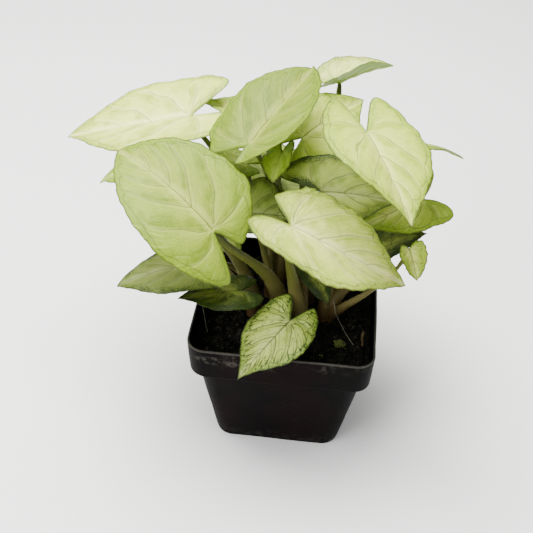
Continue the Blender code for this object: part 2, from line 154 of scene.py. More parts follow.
class Graph:
    """A node tree that is built by one generic method."""

    def __init__(self, tree: Any) -> None:
        """Keep the tree."""
        self.tree = tree

    def node(self, kind: str, inputs: dict | None = None, out: Any = 0, **settings: Any) -> Any:
        """Add one node.

        Args:
            kind: the node's type.
            inputs: values or sockets by the input's name or number.
            out: the output to hand back, by name or number, or several as a list.
            settings: the node's own properties, which are set first.

        Returns:
            The chosen output, or a list of them.
        """
        made = self.tree.nodes.new(kind)
        for name, value in settings.items():
            setattr(made, name, value)
        for key, value in (inputs or {}).items():
            self.put(made.inputs[key], value)
        if isinstance(out, list):
            return [Sock(self, made.outputs[one]) for one in out]
        return Sock(self, made.outputs[out]) if len(made.outputs) else None

    def put(self, target: Any, value: Any) -> None:
        """Link a socket, or set a plain value.

        Args:
            target: the input that is fed.
            value: a socket, number, colour or place.
        """
        if isinstance(value, Sock):
            self.tree.links.new(value.socket, target)
        elif isinstance(value, (tuple, list)) and target.type == "RGBA" and len(value) == 3:
            target.default_value = (*value, 1.0)
        else:
            target.default_value = value

    def mix(self, share: Any, base: Any, over: Any) -> Sock:
        """Mix two colours.

        Args:
            share: how much of the second colour shows.
            base: the first colour.
            over: the second colour.

        Returns:
            The mixed colour.
        """
        return self.node("ShaderNodeMix", {"Factor": share, "A": base, "B": over}, out="Result",
                         data_type="RGBA")

    def noise(self, place: Any, scale: float, detail: float = 2.0, rough: float = 0.5) -> Sock:
        """Read soft noise at a place."""
        return self.node("ShaderNodeTexNoise", {"Vector": place, "Scale": scale, "Detail": detail,
                                                "Roughness": rough})

    def stretch(self, place: Any, factors: Place) -> Sock:
        """Scale a place along its three axes."""
        return self.node("ShaderNodeVectorMath", {0: place, 1: factors}, operation="MULTIPLY")

    def vector(self, x: Any, y: Any, z: Any = 0.0) -> Sock:
        """Join three values as a place."""
        return self.node("ShaderNodeCombineXYZ", {"X": x, "Y": y, "Z": z})

    def split(self, place: Any) -> list:
        """Part a place into its three values."""
        return self.node("ShaderNodeSeparateXYZ", {"Vector": place}, out=["X", "Y", "Z"])


class Paint(Graph):
    """A material's tree with its Principled shader."""

    def __init__(self, name: str, **fixed: Any) -> None:
        """Start a material.

        Args:
            name: the material's name.
            fixed: constant values by the shader socket's name, with _ for a space.
        """
        self.material = bpy.data.materials.new(name)
        self.material.use_nodes = True
        super().__init__(self.material.node_tree)
        self.shader = self.tree.nodes["Principled BSDF"]
        for key, value in fixed.items():
            self.put(self.shader.inputs[key.replace("_", " ")], value)
        self.object_place = Sock(self, self.tree.nodes.new("ShaderNodeTexCoord").outputs["Object"])

    def set(self, **changing: Any) -> None:
        """Feed the shader's sockets with what changes over the surface."""
        for key, value in changing.items():
            self.put(self.shader.inputs[key.replace("_", " ")], value)

    def bump(self, height: Sock, distance: float, strength: float = 1.0) -> None:
        """Turn a height into relief of the shader's normal.

        Args:
            height: the height from 0 to 1.
            distance: the full height in metres.
            strength: the share of it that shows.
        """
        made = self.node("ShaderNodeBump",
                         {"Height": height, "Distance": distance, "Strength": strength})
        self.put(self.shader.inputs["Normal"], made)

    def attribute(self, name: str) -> Sock:
        """Read a vector attribute of the piece."""
        return self.node("ShaderNodeAttribute", out="Vector", attribute_name=name)


# ---- Finishes ----

@dataclass
class LeafMap:
    """What a leaf's finish reads from the blade: places, distances in millimetres and the veins."""

    where: Sock
    along: Sock
    out: Sock
    edge: Sock
    under: Sock
    midrib: Sock
    phase: Sock
    side: Sock
    half: Sock
    ring: Sock
    inside: Sock
    strength: Sock

    @classmethod
    def read(cls, paint: Paint) -> "LeafMap":
        """Read the blade's attributes and draw the veins' lines from them.

        Args:
            paint: the material that is being built.

        Returns:
            The sockets.
        """
        where, grain = paint.attribute("leaf_place"), paint.attribute("vein_place")
        ahead, across, along = paint.split(where)
        veins, out, strength = paint.split(grain)
        edge, gap, under = paint.split(paint.attribute("leaf_edge"))
        wander = paint.noise(where, 0.16, 2.0) - 0.5
        drift = paint.noise(where, 0.09, 0.0) - 0.5
        phase = veins + 0.26 * drift
        loop = abs(phase.fract() - 0.5) * 2.0
        ring = edge - (1.5 + 1.5 * loop * loop + 1.6 * wander)
        side = abs((phase + 0.5).fract() - 0.5) * gap
        half = abs((phase * 2.0 + 1.0 + 0.7 * wander).fract() - 0.5) * gap * 0.5
        midrib = abs(across).most((0.0 - ahead) * 3.0)
        return cls(where, along, out, edge, under, midrib, phase, side, half, ring,
                   ring.step(-0.3, 0.6), strength)


@dataclass(frozen=True)
class LeafFinish:
    """The look of a leaf's blade: its colours and how strongly each marking shows."""

    name: str
    heart: Colour = (0.29, 0.35, 0.046)
    flesh: Colour = (0.225, 0.320, 0.020)
    # deep: the deep green of the speckle and of random darker patches, also used as painted shade
    # in the hollows beside the side veins.
    deep: Colour = (0.125, 0.200, 0.006)
    margin: Colour = (0.145, 0.240, 0.004)
    # halo: the pale colour of the veins' halos, the speckle and the streaks, also used as a painted
    # highlight along the midrib and on one side of each side vein.
    halo: Colour = (0.45, 0.52, 0.115)
    vein: Colour = (0.045, 0.065, 0.012)
    under: Colour = (0.15, 0.22, 0.022)
    dark: Colour = (0.012, 0.024, 0.003)
    vein_strength: float = 0.60
    net_strength: float = 0.32
    net_colour: Colour = (0.060, 0.098, 0.007)
    net_width: float = 0.21
    net_reach: float = 5.0
    mottle: float = 0.0
    mottle_right: float = 1.0
    rim: float = 0.70
    marble: float = 0.0
    relief: float = 0.00016

    def material(self) -> Any:
        """Build the blade's material.

        Returns:
            The Blender material.
        """
        paint = Paint("leaf_" + self.name, Roughness=0.48, Specular_IOR_Level=0.17,
                      Subsurface_Weight=0.08, Subsurface_Radius=(1.0, 1.0, 0.3),
                      Subsurface_Scale=0.0012)
        blade = LeafMap.read(paint)
        lanes = paint.vector(blade.phase * 14.0, blade.out * 3.2, blade.along * 2.0)
        streak = paint.noise(lanes, 1.0, 3.0, 0.6)
        colour = self._flesh(paint, blade, streak)
        colour = self._halo(paint, colour, blade, streak)
        colour = self._net(paint, colour, blade)
        lines = self._lines(blade)
        colour = paint.mix(lines * self.vein_strength, colour, self.vein)
        colour = self._edge(paint, colour, blade)
        colour = self._back(paint, colour, blade)
        paint.set(Base_Color=colour)
        skin = paint.noise(blade.where, 4.0, 2.0) * 0.30 + streak * 0.35
        pressed = (blade.half.line(0.5) * 0.30 + abs(blade.ring).line(0.5) * 0.5
                   + blade.side.line(0.45) * 0.4)
        paint.bump(skin + 1.0 - pressed, self.relief, 0.8)
        return paint.material

    @staticmethod
    def _lines(blade: LeafMap) -> Sock:
        """Draw the midrib, the side veins and the loop that joins them along the margin.

        Args:
            blade: what the finish reads from the blade.

        Returns:
            1 on the lines, 0 away from them.
        """
        midrib = blade.midrib.line(0.28 + 0.30 * (1.0 - blade.along)) * 0.95
        side = blade.side.line(0.40) * blade.strength * blade.inside * blade.out.step(1.25, 0.35)
        loop = abs(blade.ring).line(0.36) * blade.out.step(0.35, 0.60) * blade.strength.least(0.8)
        return midrib.most(side).most(loop)

    def _flesh(self, paint: Paint, blade: LeafMap, streak: Sock) -> Sock:
        """Mix the pale heart, the flesh, the deep green of painted shade in the hollows beside the
        side veins with random darker patches, and the green margin, with speckle.

        Args:
            paint: the material that is being built.
            blade: what the finish reads from the blade.
            streak: fine streaks along the veins.

        Returns:
            The flesh's colour.
        """
        broad = paint.noise(blade.where, 0.11, 2.0, 0.6)
        patch = paint.noise(blade.where, 0.30, 2.0, 0.6)
        heart = blade.out.step(0.85, 0.05) * 0.55 + (broad - 0.5) * 1.5
        colour = paint.mix(heart.most(0.0).least(1.0), self.flesh, self.heart)
        # Painted shade: the deep colour darkens the flesh on one side of each side vein, as if that
        # hollow lay in shade; the broad noise adds random darker patches.
        hollow_shade = blade.phase.fract().step(0.42, 0.98) * blade.out.step(0.02, 0.14)
        hollow_shade = hollow_shade * blade.edge.step(1.0, 5.0)
        hollow_shade = hollow_shade * (0.45 + 1.8 * (patch - 0.3)) + (0.47 - broad) * 2.4
        colour = paint.mix(hollow_shade.most(0.0).least(0.85), colour, self.deep)
        green = blade.edge.step(4.6, 0.2) * (0.25 + 1.1 * (patch - 0.1))
        colour = paint.mix(green.most(0.0).least(1.0), colour, self.margin)
        speck = paint.noise(blade.where, 2.4, 3.0, 0.65)
        colour = paint.mix(speck.step(0.50, 0.70) * 0.34, colour, self.halo)
        colour = paint.mix(speck.step(0.50, 0.32) * 0.34, colour, self.deep)
        colour = paint.mix(streak.step(0.52, 0.72) * 0.36, colour, self.halo)
        if self.marble:
            cloud = paint.noise(blade.where, 0.40, 4.0, 0.7)
            cloud = cloud + blade.out.step(0.70, 0.10) * 0.24 - 0.14
            colour = paint.mix(cloud.step(0.50, 0.60) * self.marble, colour, self.halo)
            colour = paint.mix(cloud.step(0.48, 0.36) * self.marble * 0.8, colour, self.dark)
        return colour

    def _halo(self, paint: Paint, colour: Sock, blade: LeafMap, streak: Sock) -> Sock:
        """Lighten the flesh beside the veins: the side veins' own pale halos, a pale band along the
        midrib that is partly the leaf's own pale colour and partly a painted highlight, and a
        painted highlight on one side of each side vein.

        Args:
            paint: the material that is being built.
            colour: the colour so far.
            blade: what the finish reads from the blade.
            streak: fine streaks along the veins.

        Returns:
            The new colour.
        """
        # Partly the midrib's own pale colour, partly a painted highlight: the soft sheen along the
        # midrib.
        glow = blade.midrib.line(4.2 - 2.6 * blade.along) * (0.55 + 0.5 * streak)
        # Painted highlight: the flesh just past each side vein is lightened, as if lit from that
        # side.
        beside = blade.phase.fract().step(0.42, 0.02) * blade.out.step(0.95, 0.1) * 0.34
        fine = blade.side.line(1.1) * blade.inside * blade.strength * 0.42
        return paint.mix(glow.most(fine).most(beside * blade.inside), colour, self.halo)

    def _net(self, paint: Paint, colour: Sock, blade: LeafMap) -> Sock:
        """Draw the fine net between the side veins, closest along the margin.

        Args:
            paint: the material that is being built.
            colour: the colour so far.
            blade: what the finish reads from the blade.

        Returns:
            The new colour.
        """
        drift = paint.noise(blade.where, 0.9, 2.0) - 0.5
        lanes = paint.vector(blade.phase * 6.5 + drift * 1.2, blade.out * 3.4 + drift)
        cells = paint.node("ShaderNodeTexVoronoi", {"Vector": lanes, "Scale": 1.0},
                           feature="DISTANCE_TO_EDGE", voronoi_dimensions="2D")
        ragged = paint.noise(blade.where, 0.35, 2.0)
        near = (blade.edge - 7.0 * (ragged - 0.40)).step(self.net_reach, 0.8)
        broken = paint.noise(blade.where, 1.1, 2.0).step(0.44, 0.56)
        shown = 0.05 + 0.6 * broken * blade.out.step(0.10, 0.45) + 0.75 * near
        fine = blade.half.line(self.net_width + 0.08) * blade.inside * (0.40 + 0.9 * near)
        lines = (cells.line(self.net_width * 0.45) * shown).most(fine)
        return paint.mix((lines * self.net_strength).least(1.0), colour, self.net_colour)

    def _edge(self, paint: Paint, colour: Sock, blade: LeafMap) -> Sock:
        """Draw the thin dark line on the very edge and, where the leaf has it, the mottled band.

        Args:
            paint: the material that is being built.
            colour: the colour so far.
            blade: what the finish reads from the blade.

        Returns:
            The new colour.
        """
        ragged = paint.noise(blade.where, 0.7, 3.0, 0.7)
        thin = blade.edge.line(0.45 + 0.75 * ragged) * ragged.step(0.26, 0.46) * self.rim
        colour = paint.mix(thin, colour, self.dark)
        if not self.mottle:
            return colour
        patch = paint.noise(blade.where, 0.17, 2.0, 0.5)
        fine = paint.noise(blade.where, 2.0, 4.0, 0.8)
        reach = blade.edge.step(5.0, 0.0) * 0.62 + (patch - 0.5) * 1.5 + (fine - 0.5) * 2.1
        _, across, _ = paint.split(blade.where)
        left = across.step(-1.0, 1.5)
        strength = self.mottle * (self.mottle_right + (1.0 - self.mottle_right) * left)
        colour = paint.mix(reach.step(0.10, 0.60) * strength * 0.6, colour, self.margin)
        return paint.mix(reach.step(0.42, 0.62) * strength, colour, self.dark)

    def _back(self, paint: Paint, colour: Sock, blade: LeafMap) -> Sock:
        """Give the underside its own plainer green with pale raised veins.

        Args:
            paint: the material that is being built.
            colour: the colour so far.
            blade: what the finish reads from the blade.

        Returns:
            The new colour.
        """
        pale = blade.midrib.line(0.9).most(blade.side.line(0.55) * blade.inside * 0.7)
        cloud = paint.noise(blade.where, 0.3, 3.0)
        back = paint.mix(cloud.step(0.35, 0.75) * 0.40, self.under, self.margin)
        back = paint.mix(pale * 0.55, back, self.halo)
        return paint.mix(blade.under, colour, back)


class Skin(Enum):
    """The finishes that a leaf can have."""

    PALE = LeafFinish("pale")
    MEADOW = LeafFinish("meadow", heart=(0.160, 0.210, 0.020), flesh=(0.138, 0.202, 0.010),
                        deep=(0.090, 0.145, 0.005), margin=(0.145, 0.240, 0.005),
                        halo=(0.35, 0.41, 0.070))
    CREAM = LeafFinish("cream", heart=(0.74, 0.81, 0.19), flesh=(0.54, 0.66, 0.085),
                       deep=(0.32, 0.43, 0.034), margin=(0.20, 0.31, 0.010),
                       halo=(0.90, 0.93, 0.38), under=(0.20, 0.28, 0.03))
    LIME = LeafFinish("lime", heart=(0.56, 0.66, 0.100), flesh=(0.42, 0.54, 0.045),
                      deep=(0.26, 0.37, 0.015), margin=(0.18, 0.29, 0.008), halo=(0.62, 0.70, 0.17),
                      rim=0.8)
    NETTED = LeafFinish("netted", heart=(0.38, 0.45, 0.10), flesh=(0.30, 0.38, 0.060),
                        deep=(0.19, 0.27, 0.022), margin=(0.085, 0.150, 0.006),
                        halo=(0.38, 0.43, 0.13), net_strength=1.0, net_colour=(0.012, 0.032, 0.002),
                        net_width=0.32, net_reach=6.0, vein=(0.02, 0.04, 0.006), vein_strength=0.85,
                        rim=0.95)
    MOTTLED = LeafFinish("mottled", heart=(0.42, 0.50, 0.110), flesh=(0.29, 0.37, 0.052),
                         deep=(0.13, 0.19, 0.012), margin=(0.055, 0.090, 0.006),
                         under=(0.08, 0.12, 0.015), halo=(0.34, 0.39, 0.13), mottle=0.85,
                         mottle_right=0.15, rim=0.9)
    GREYED = LeafFinish("greyed", heart=(0.185, 0.220, 0.052), flesh=(0.145, 0.185, 0.032),
                        deep=(0.085, 0.120, 0.014), margin=(0.090, 0.130, 0.012),
                        under=(0.06, 0.09, 0.015), halo=(0.25, 0.29, 0.10), mottle=0.75, rim=0.9)
    SHADED = LeafFinish("shaded", heart=(0.30, 0.37, 0.070), flesh=(0.22, 0.29, 0.048),
                        deep=(0.10, 0.15, 0.012), margin=(0.05, 0.085, 0.006),
                        under=(0.09, 0.14, 0.015), halo=(0.28, 0.33, 0.10), mottle=0.5, rim=0.8)
    DARK = LeafFinish("dark", heart=(0.045, 0.062, 0.008), flesh=(0.024, 0.038, 0.004),
                      deep=(0.016, 0.032, 0.003), margin=(0.018, 0.036, 0.003),
                      under=(0.03, 0.05, 0.008), halo=(0.190, 0.230, 0.040),
                      vein=(0.012, 0.02, 0.004), marble=0.6, mottle=0.7, rim=0.9)
    FRESH = LeafFinish("fresh", heart=(0.36, 0.50, 0.045), flesh=(0.31, 0.45, 0.030),
                       deep=(0.22, 0.34, 0.013), margin=(0.16, 0.26, 0.010),
                       under=(0.24, 0.36, 0.020), halo=(0.42, 0.54, 0.08), vein_strength=0.3,
                       net_strength=0.05)
    FOLDED = LeafFinish("folded", heart=(0.72, 0.78, 0.26), flesh=(0.60, 0.68, 0.17),
                        deep=(0.34, 0.45, 0.04), margin=(0.20, 0.31, 0.014),
                        under=(0.17, 0.28, 0.010), halo=(0.85, 0.88, 0.38), vein_strength=0.35,
                        rim=0.85)


@dataclass(frozen=True)
class StalkFinish:
    """Smooth stalks: tan, papery sheaths at the foot and pale olive further up."""

    foot: Colour = (0.075, 0.043, 0.017)
    sheath: Colour = (0.120, 0.098, 0.032)
    flesh: Colour = (0.068, 0.078, 0.010)
    neck: Colour = (0.052, 0.074, 0.006)
    pale_streak: Colour = (0.19, 0.17, 0.066)
    dark_streak: Colour = (0.030, 0.032, 0.005)

    def material(self) -> Any:
        """Build the stalks' material.

        Returns:
            The Blender material.
        """
        paint = Paint("stalks", Roughness=0.46, Specular_IOR_Level=0.14, Subsurface_Weight=0.08,
                      Subsurface_Radius=(1.0, 0.9, 0.4), Subsurface_Scale=0.0015)
        place = paint.object_place
        _, _, height = paint.split(place)
        streaks = paint.noise(paint.stretch(place, (1.0, 1.0, 0.06)), 2600.0, 3.0, 0.6)
        blotch = paint.noise(place, 160.0, 3.0)
        rise = height + 0.010 * (blotch - 0.5)
        colour = paint.mix(rise.step(0.050, 0.064), self.foot, self.sheath)
        colour = paint.mix(rise.step(0.060, 0.084), colour, self.flesh)
        colour = paint.mix(rise.step(0.088, 0.115), colour, self.neck)
        colour = paint.mix(streaks.step(0.55, 0.75) * 0.35, colour, self.pale_streak)
        colour = paint.mix(streaks.step(0.45, 0.25) * 0.35, colour, self.dark_streak)
        paint.set(Base_Color=colour)
        paint.bump(streaks, 0.00012, 0.5)
        return paint.material


@dataclass(frozen=True)
class PotFinish:
    """Thin black nursery plastic: faintly brown, dusty under the rim, scuffed and scratched, with a
    painted greenish cast on its right side and a painted highlight on its worn rim.
    """

    black: Colour = (0.0012, 0.0009, 0.0009)
    brown: Colour = (0.0038, 0.0016, 0.0015)
    # A painted cool cast of the light on the right side of the pot.
    green: Colour = (0.0012, 0.0024, 0.0018)
    dust: Colour = (0.055, 0.050, 0.042)
    # The rim's colour: worn grey plastic, and a painted highlight along the lip.
    worn_and_highlight: Colour = (0.075, 0.071, 0.062)
    scuffed: Colour = (0.030, 0.028, 0.027)
    # Each splash: its place across and up, half its width and height, in metres, and its strength.
    splashes: tuple[tuple[float, ...], ...] = ((-0.0255, 0.0525, 0.0065, 0.0022, 0.75),
                                               (-0.0175, 0.0515, 0.0030, 0.0020, 0.50))

    def material(self) -> Any:
        """Build the pot's material.

        Returns:
            The Blender material.
        """
        paint = Paint("pot_plastic", Specular_IOR_Level=0.028)
        place = paint.object_place
        across, depth, height = paint.split(place)
        cloud = paint.noise(place, 38.0, 3.0, 0.6)
        colour = paint.mix(cloud.step(0.40, 0.62), self.black, self.brown)
        # Painted light: a greenish cast on the right side, as the light falls there cooler.
        colour = paint.mix(across.step(0.012, 0.034) * 0.8, colour, self.green)
        grime = paint.noise(place, 420.0, 4.0, 0.7)
        tint = paint.noise(place, 70.0, 2.0)
        band = height.step(0.047, 0.0545) * tint.step(0.50, 0.66) * grime.step(0.48, 0.62)
        colour = paint.mix(band * 0.55, colour, self.dust)
        # Lighter line on the rim: partly worn plastic, partly a painted highlight along the lip.
        rim = height.step(0.0562, 0.0569)
        colour = paint.mix(rim * (0.40 + 0.45 * grime), colour, self.worn_and_highlight)
        spots = self._residue(across, height, depth, grime)
        colour = paint.mix(spots, colour, self.dust)
        scratches = self._scratches(paint, place)
        colour = paint.mix(scratches * 0.30, colour, self.scuffed)
        foot = height.step(0.010, 0.0) * grime.step(0.45, 0.6)
        colour = paint.mix(foot * 0.25, colour, self.dust)
        paint.set(Base_Color=colour, Roughness=0.42 + 0.22 * cloud + 0.25 * band.most(spots))
        fine = paint.noise(place, 900.0, 2.0)
        paint.bump(cloud * 0.7 + fine * 0.12 - scratches * 0.15, 0.0006, 0.6)
        return paint.material

    def _residue(self, across: Sock, height: Sock, depth: Sock, grime: Sock) -> Sock:
        """Place the dried splashes on the front, left of the middle.

        Args:
            across: places from left to right.
            height: heights over the foot.
            depth: places from front to back.
            grime: fine noise.

        Returns:
            How strongly the residue shows.
        """
        front = depth.step(-0.026, -0.030)
        total = None
        for x, z, wide, tall, share in self.splashes:
            round_off = ((across - x) / wide) ** 2.0 + ((height - z) / tall) ** 2.0
            spot = round_off.step(1.2, 0.1) * grime.step(0.42, 0.58) * share
            total = spot if total is None else total.most(spot)
        return total * front

    @staticmethod
    def _scratches(paint: Paint, place: Sock) -> Sock:
        """Draw a few long thin scratches over the walls.

        Args:
            paint: the material that is being built.
            place: the place on the pot.

        Returns:
            1 on a scratch, 0 beside it.
        """
        slant = paint.node("ShaderNodeMapping", {"Vector": place, "Rotation": (0.3, 0.5, 0.6),
                                                 "Scale": (1.0, 0.06, 1.0)})
        thread = paint.noise(slant, 900.0, 0.0)
        where = paint.noise(place, 55.0, 2.0)
        return abs(thread - 0.5).line(0.012) * where.step(0.58, 0.68)


@dataclass(frozen=True)
class SoilFinish:
    """Moist black potting mix with a few paler bits."""

    black: Colour = (0.0016, 0.0015, 0.0011)
    brown: Colour = (0.0120, 0.0105, 0.0070)
    pale: Colour = (0.070, 0.066, 0.046)
    name: str = "potting_mix"

    def material(self) -> Any:
        """Build the mix's material.

        Returns:
            The Blender material.
        """
        paint = Paint(self.name, Specular_IOR_Level=0.12)
        place = paint.object_place
        lumps = paint.noise(place, 520.0, 4.0, 0.7)
        patch = paint.noise(place, 130.0, 2.0)
        colour = paint.mix(lumps.step(0.45, 0.70), self.black, self.brown)
        bits = paint.noise(place, 760.0, 1.0)
        colour = paint.mix(bits.step(0.70, 0.76) * patch.step(0.45, 0.6) * 0.8, colour, self.pale)
        paint.set(Base_Color=colour, Roughness=0.62 + 0.3 * patch)
        paint.bump(lumps, 0.0009, 0.9)
        return paint.material


@dataclass(frozen=True)
class PlainFinish:
    """A small piece's finish: two tones mixed by fine noise."""

    name: str
    light: Colour
    deep: Colour
    scale: float = 900.0
    roughness: float = 0.7

    def material(self) -> Any:
        """Build the material.

        Returns:
            The Blender material.
        """
        paint = Paint(self.name, Roughness=self.roughness)
        cloud = paint.noise(paint.object_place, self.scale, 3.0, 0.6)
        paint.set(Base_Color=paint.mix(cloud.step(0.35, 0.65), self.deep, self.light))
        paint.bump(cloud, 0.0003, 0.6)
        return paint.material


# ---- Meshes from arrays ----

@dataclass
class Sheet:
    """A surface of points and four-cornered faces, which can be welded where its halves meet."""

    points: np.ndarray
    faces: np.ndarray
    source: np.ndarray = field(init=False)

    def weld(self) -> None:
        """Join points at one place, and keep the old numbers of the faces' corners as source."""
        _, first, merged = np.unique(np.round(self.points, 3), axis=0, return_index=True,
                                     return_inverse=True)
        self.points = self.points[first]
        self.source = self.faces
        self.faces = merged.reshape(-1)[self.faces]

    def normals(self) -> np.ndarray:
        """Give each point's own direction out of the face.

        Returns:
            One unit vector per point.
        """
        a, b, c, d = (self.points[self.faces[:, index]] for index in range(4))
        facing = np.cross(c - a, d - b)
        total = np.zeros_like(self.points)
        for index in range(4):
            np.add.at(total, self.faces[:, index], facing)
        return total / np.maximum(np.linalg.norm(total, axis=1, keepdims=True), 1e-9)

    def rim(self) -> np.ndarray:
        """Find the open edges as pairs of point numbers, in the faces' own direction.

        Returns:
            One pair of point numbers per edge.
        """
        pairs = np.concatenate([self.faces[:, [index, (index + 1) % 4]] for index in range(4)])
        pairs = pairs[pairs[:, 0] != pairs[:, 1]]
        keys = {(int(a), int(b)) for a, b in pairs}
        return np.array([pair for pair in keys if pair[::-1] not in keys])


def mesh_object(name: str, points: np.ndarray, polygons: list, materials: Iterable[Any]) -> Any:
    """Make an object at the origin from points in millimetres.

    Args:
        name: the object's name.
        points: its vertices.
        polygons: vertex numbers for each face.
        materials: its material slots.

    Returns:
        The object, linked to the scene and smooth shaded.
    """
    mesh = bpy.data.meshes.new(name)
    mesh.from_pydata((np.asarray(points) * MM).tolist(), [], polygons)
    mesh.shade_smooth()
    item = bpy.data.objects.new(name, mesh)
    bpy.context.scene.collection.objects.link(item)
    for material in materials:
        mesh.materials.append(material)
    return item


def grid_faces(rows: int, columns: int) -> np.ndarray:
    """Give the four point numbers of each cell in a grid of points.

    Args:
        rows: how many rows of points it has.
        columns: how many points are in a row.

    Returns:
        One row of four numbers for each cell.
    """
    number = np.arange(rows * columns).reshape(rows, columns)
    corners = [number[:-1, :-1], number[:-1, 1:], number[1:, 1:], number[1:, :-1]]
    return np.stack(corners, axis=-1).reshape(-1, 4)


def ring_faces(rings: int, around: int) -> list[list[int]]:
    """Give the faces that join each ring of points to the next.

    Args:
        rings: how many rings there are.
        around: how many points each has.

    Returns:
        Four point numbers for each face.
    """
    faces = []
    for low in range(0, (rings - 1) * around, around):
        for step in range(around):
            after = (step + 1) % around
            faces.append([low + step, low + after, low + around + after, low + around + step])
    return faces


def settle(item: Any, replaced: str | None = None) -> Any:
    """Let a finished piece ride on the plant's one body and report it.

    Args:
        item: the piece.
        replaced: the CAD node that it stands for, if it does.

    Returns:
        The piece.
    """
    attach(item, "root")
    if replaced is not None:
        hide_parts(replaced)
    LOG.info("%s: %d faces", item.name, len(item.data.polygons))
    return item


# ---- Leaves ----

@dataclass(frozen=True)
class Leaf:
    """One leaf: the place of its blade, the blade's form, its stalk and its finish.

    The pairs are for the left and the right half, seen from above with the tip ahead. Widths, the
    widest point and the lobes are shares of the blade's length from the joint to the tip. Droop,
    sag and bend are in degrees, droop and sag for each 10 mm.
    """

    name: str
    shoot: str
    joint: Place
    tip: Place
    skin: Skin = Skin.PALE
    roll: float = 0.0
    bend: float = 18.0
    fold: Pair = (14.0, 14.0)
    droop: Pair = (8.0, 8.0)
    sag: float = 8.0
    twist: float = 0.0
    width: Pair = (0.44, 0.44)
    widest: float = 0.14
    lobe_back: Pair = (0.38, 0.38)
    lobe_out: Pair = (0.25, 0.25)
    point: float = 32.0
    full: float = 0.40
    hip: float = 0.42
    notch: Pair = (24.0, 24.0)
    wave: float = 0.5
    phase: float = 0.0
    entry: float = 0.6
    sway: Place = (0.0, 0.0, 0.0)
    stalk: float = 1.0
    side_veins: int = 4
    ruffle: float = 0.22
    curl: Pair = (0.0, 0.0)

    def axes(self) -> tuple[np.ndarray, np.ndarray, np.ndarray]:
        """Give the blade's directions: ahead to the tip, across to the left and out of its face.

        Returns:
            Three unit vectors.
        """
        chord = np.subtract(self.tip, self.joint)
        ahead = chord / np.linalg.norm(chord)
        level = np.cross([0.0, 0.0, 1.0], ahead)
        level /= np.linalg.norm(level)
        upright = np.cross(ahead, level)
        roll = math.radians(self.roll)
        across = level * math.cos(roll) + upright * math.sin(roll)
        return ahead, across, np.cross(ahead, across)

    def length(self) -> float:
        """Give the length of the bent midrib from the joint to the tip.

        Returns:
            The length in millimetres.
        """
        chord = float(np.linalg.norm(np.subtract(self.tip, self.joint)))
        half = math.radians(self.bend) / 2.0
        return chord if abs(half) < 1e-4 else chord * half / math.sin(half)


def cubic(start: Any, leave: Any, arrive: Any, end: Any, count: int) -> np.ndarray:
    """Give points along the smooth curve between two places and their two handles.

    Args:
        start: the first place.
        leave: the handle after it.
        arrive: the handle before the last place.
        end: the last place.
        count: how many points.

    Returns:
        The points.
    """
    t = np.linspace(0.0, 1.0, count)[:, None]
    return ((1 - t) ** 3 * start + 3 * (1 - t) ** 2 * t * leave + 3 * (1 - t) * t ** 2 * arrive
            + t ** 3 * end)


def strip(distance: np.ndarray, slope: Any, turn: float) -> tuple[np.ndarray, np.ndarray]:
    """Give how far across and up a strip reaches that starts at a slope and turns as it goes.

    Args:
        distance: the lengths along the strip.
        slope: its slope at the start, in radians.
        turn: how far it turns down in each 10 mm, in degrees.

    Returns:
        The distances across and up.
    """
    rate = np.radians(turn) / 10.0
    if abs(rate) < 1e-6:
        return distance * np.cos(slope), distance * np.sin(slope)
    ends = slope - rate * distance
    return (np.sin(slope) - np.sin(ends)) / rate, (np.cos(ends) - np.cos(slope)) / rate


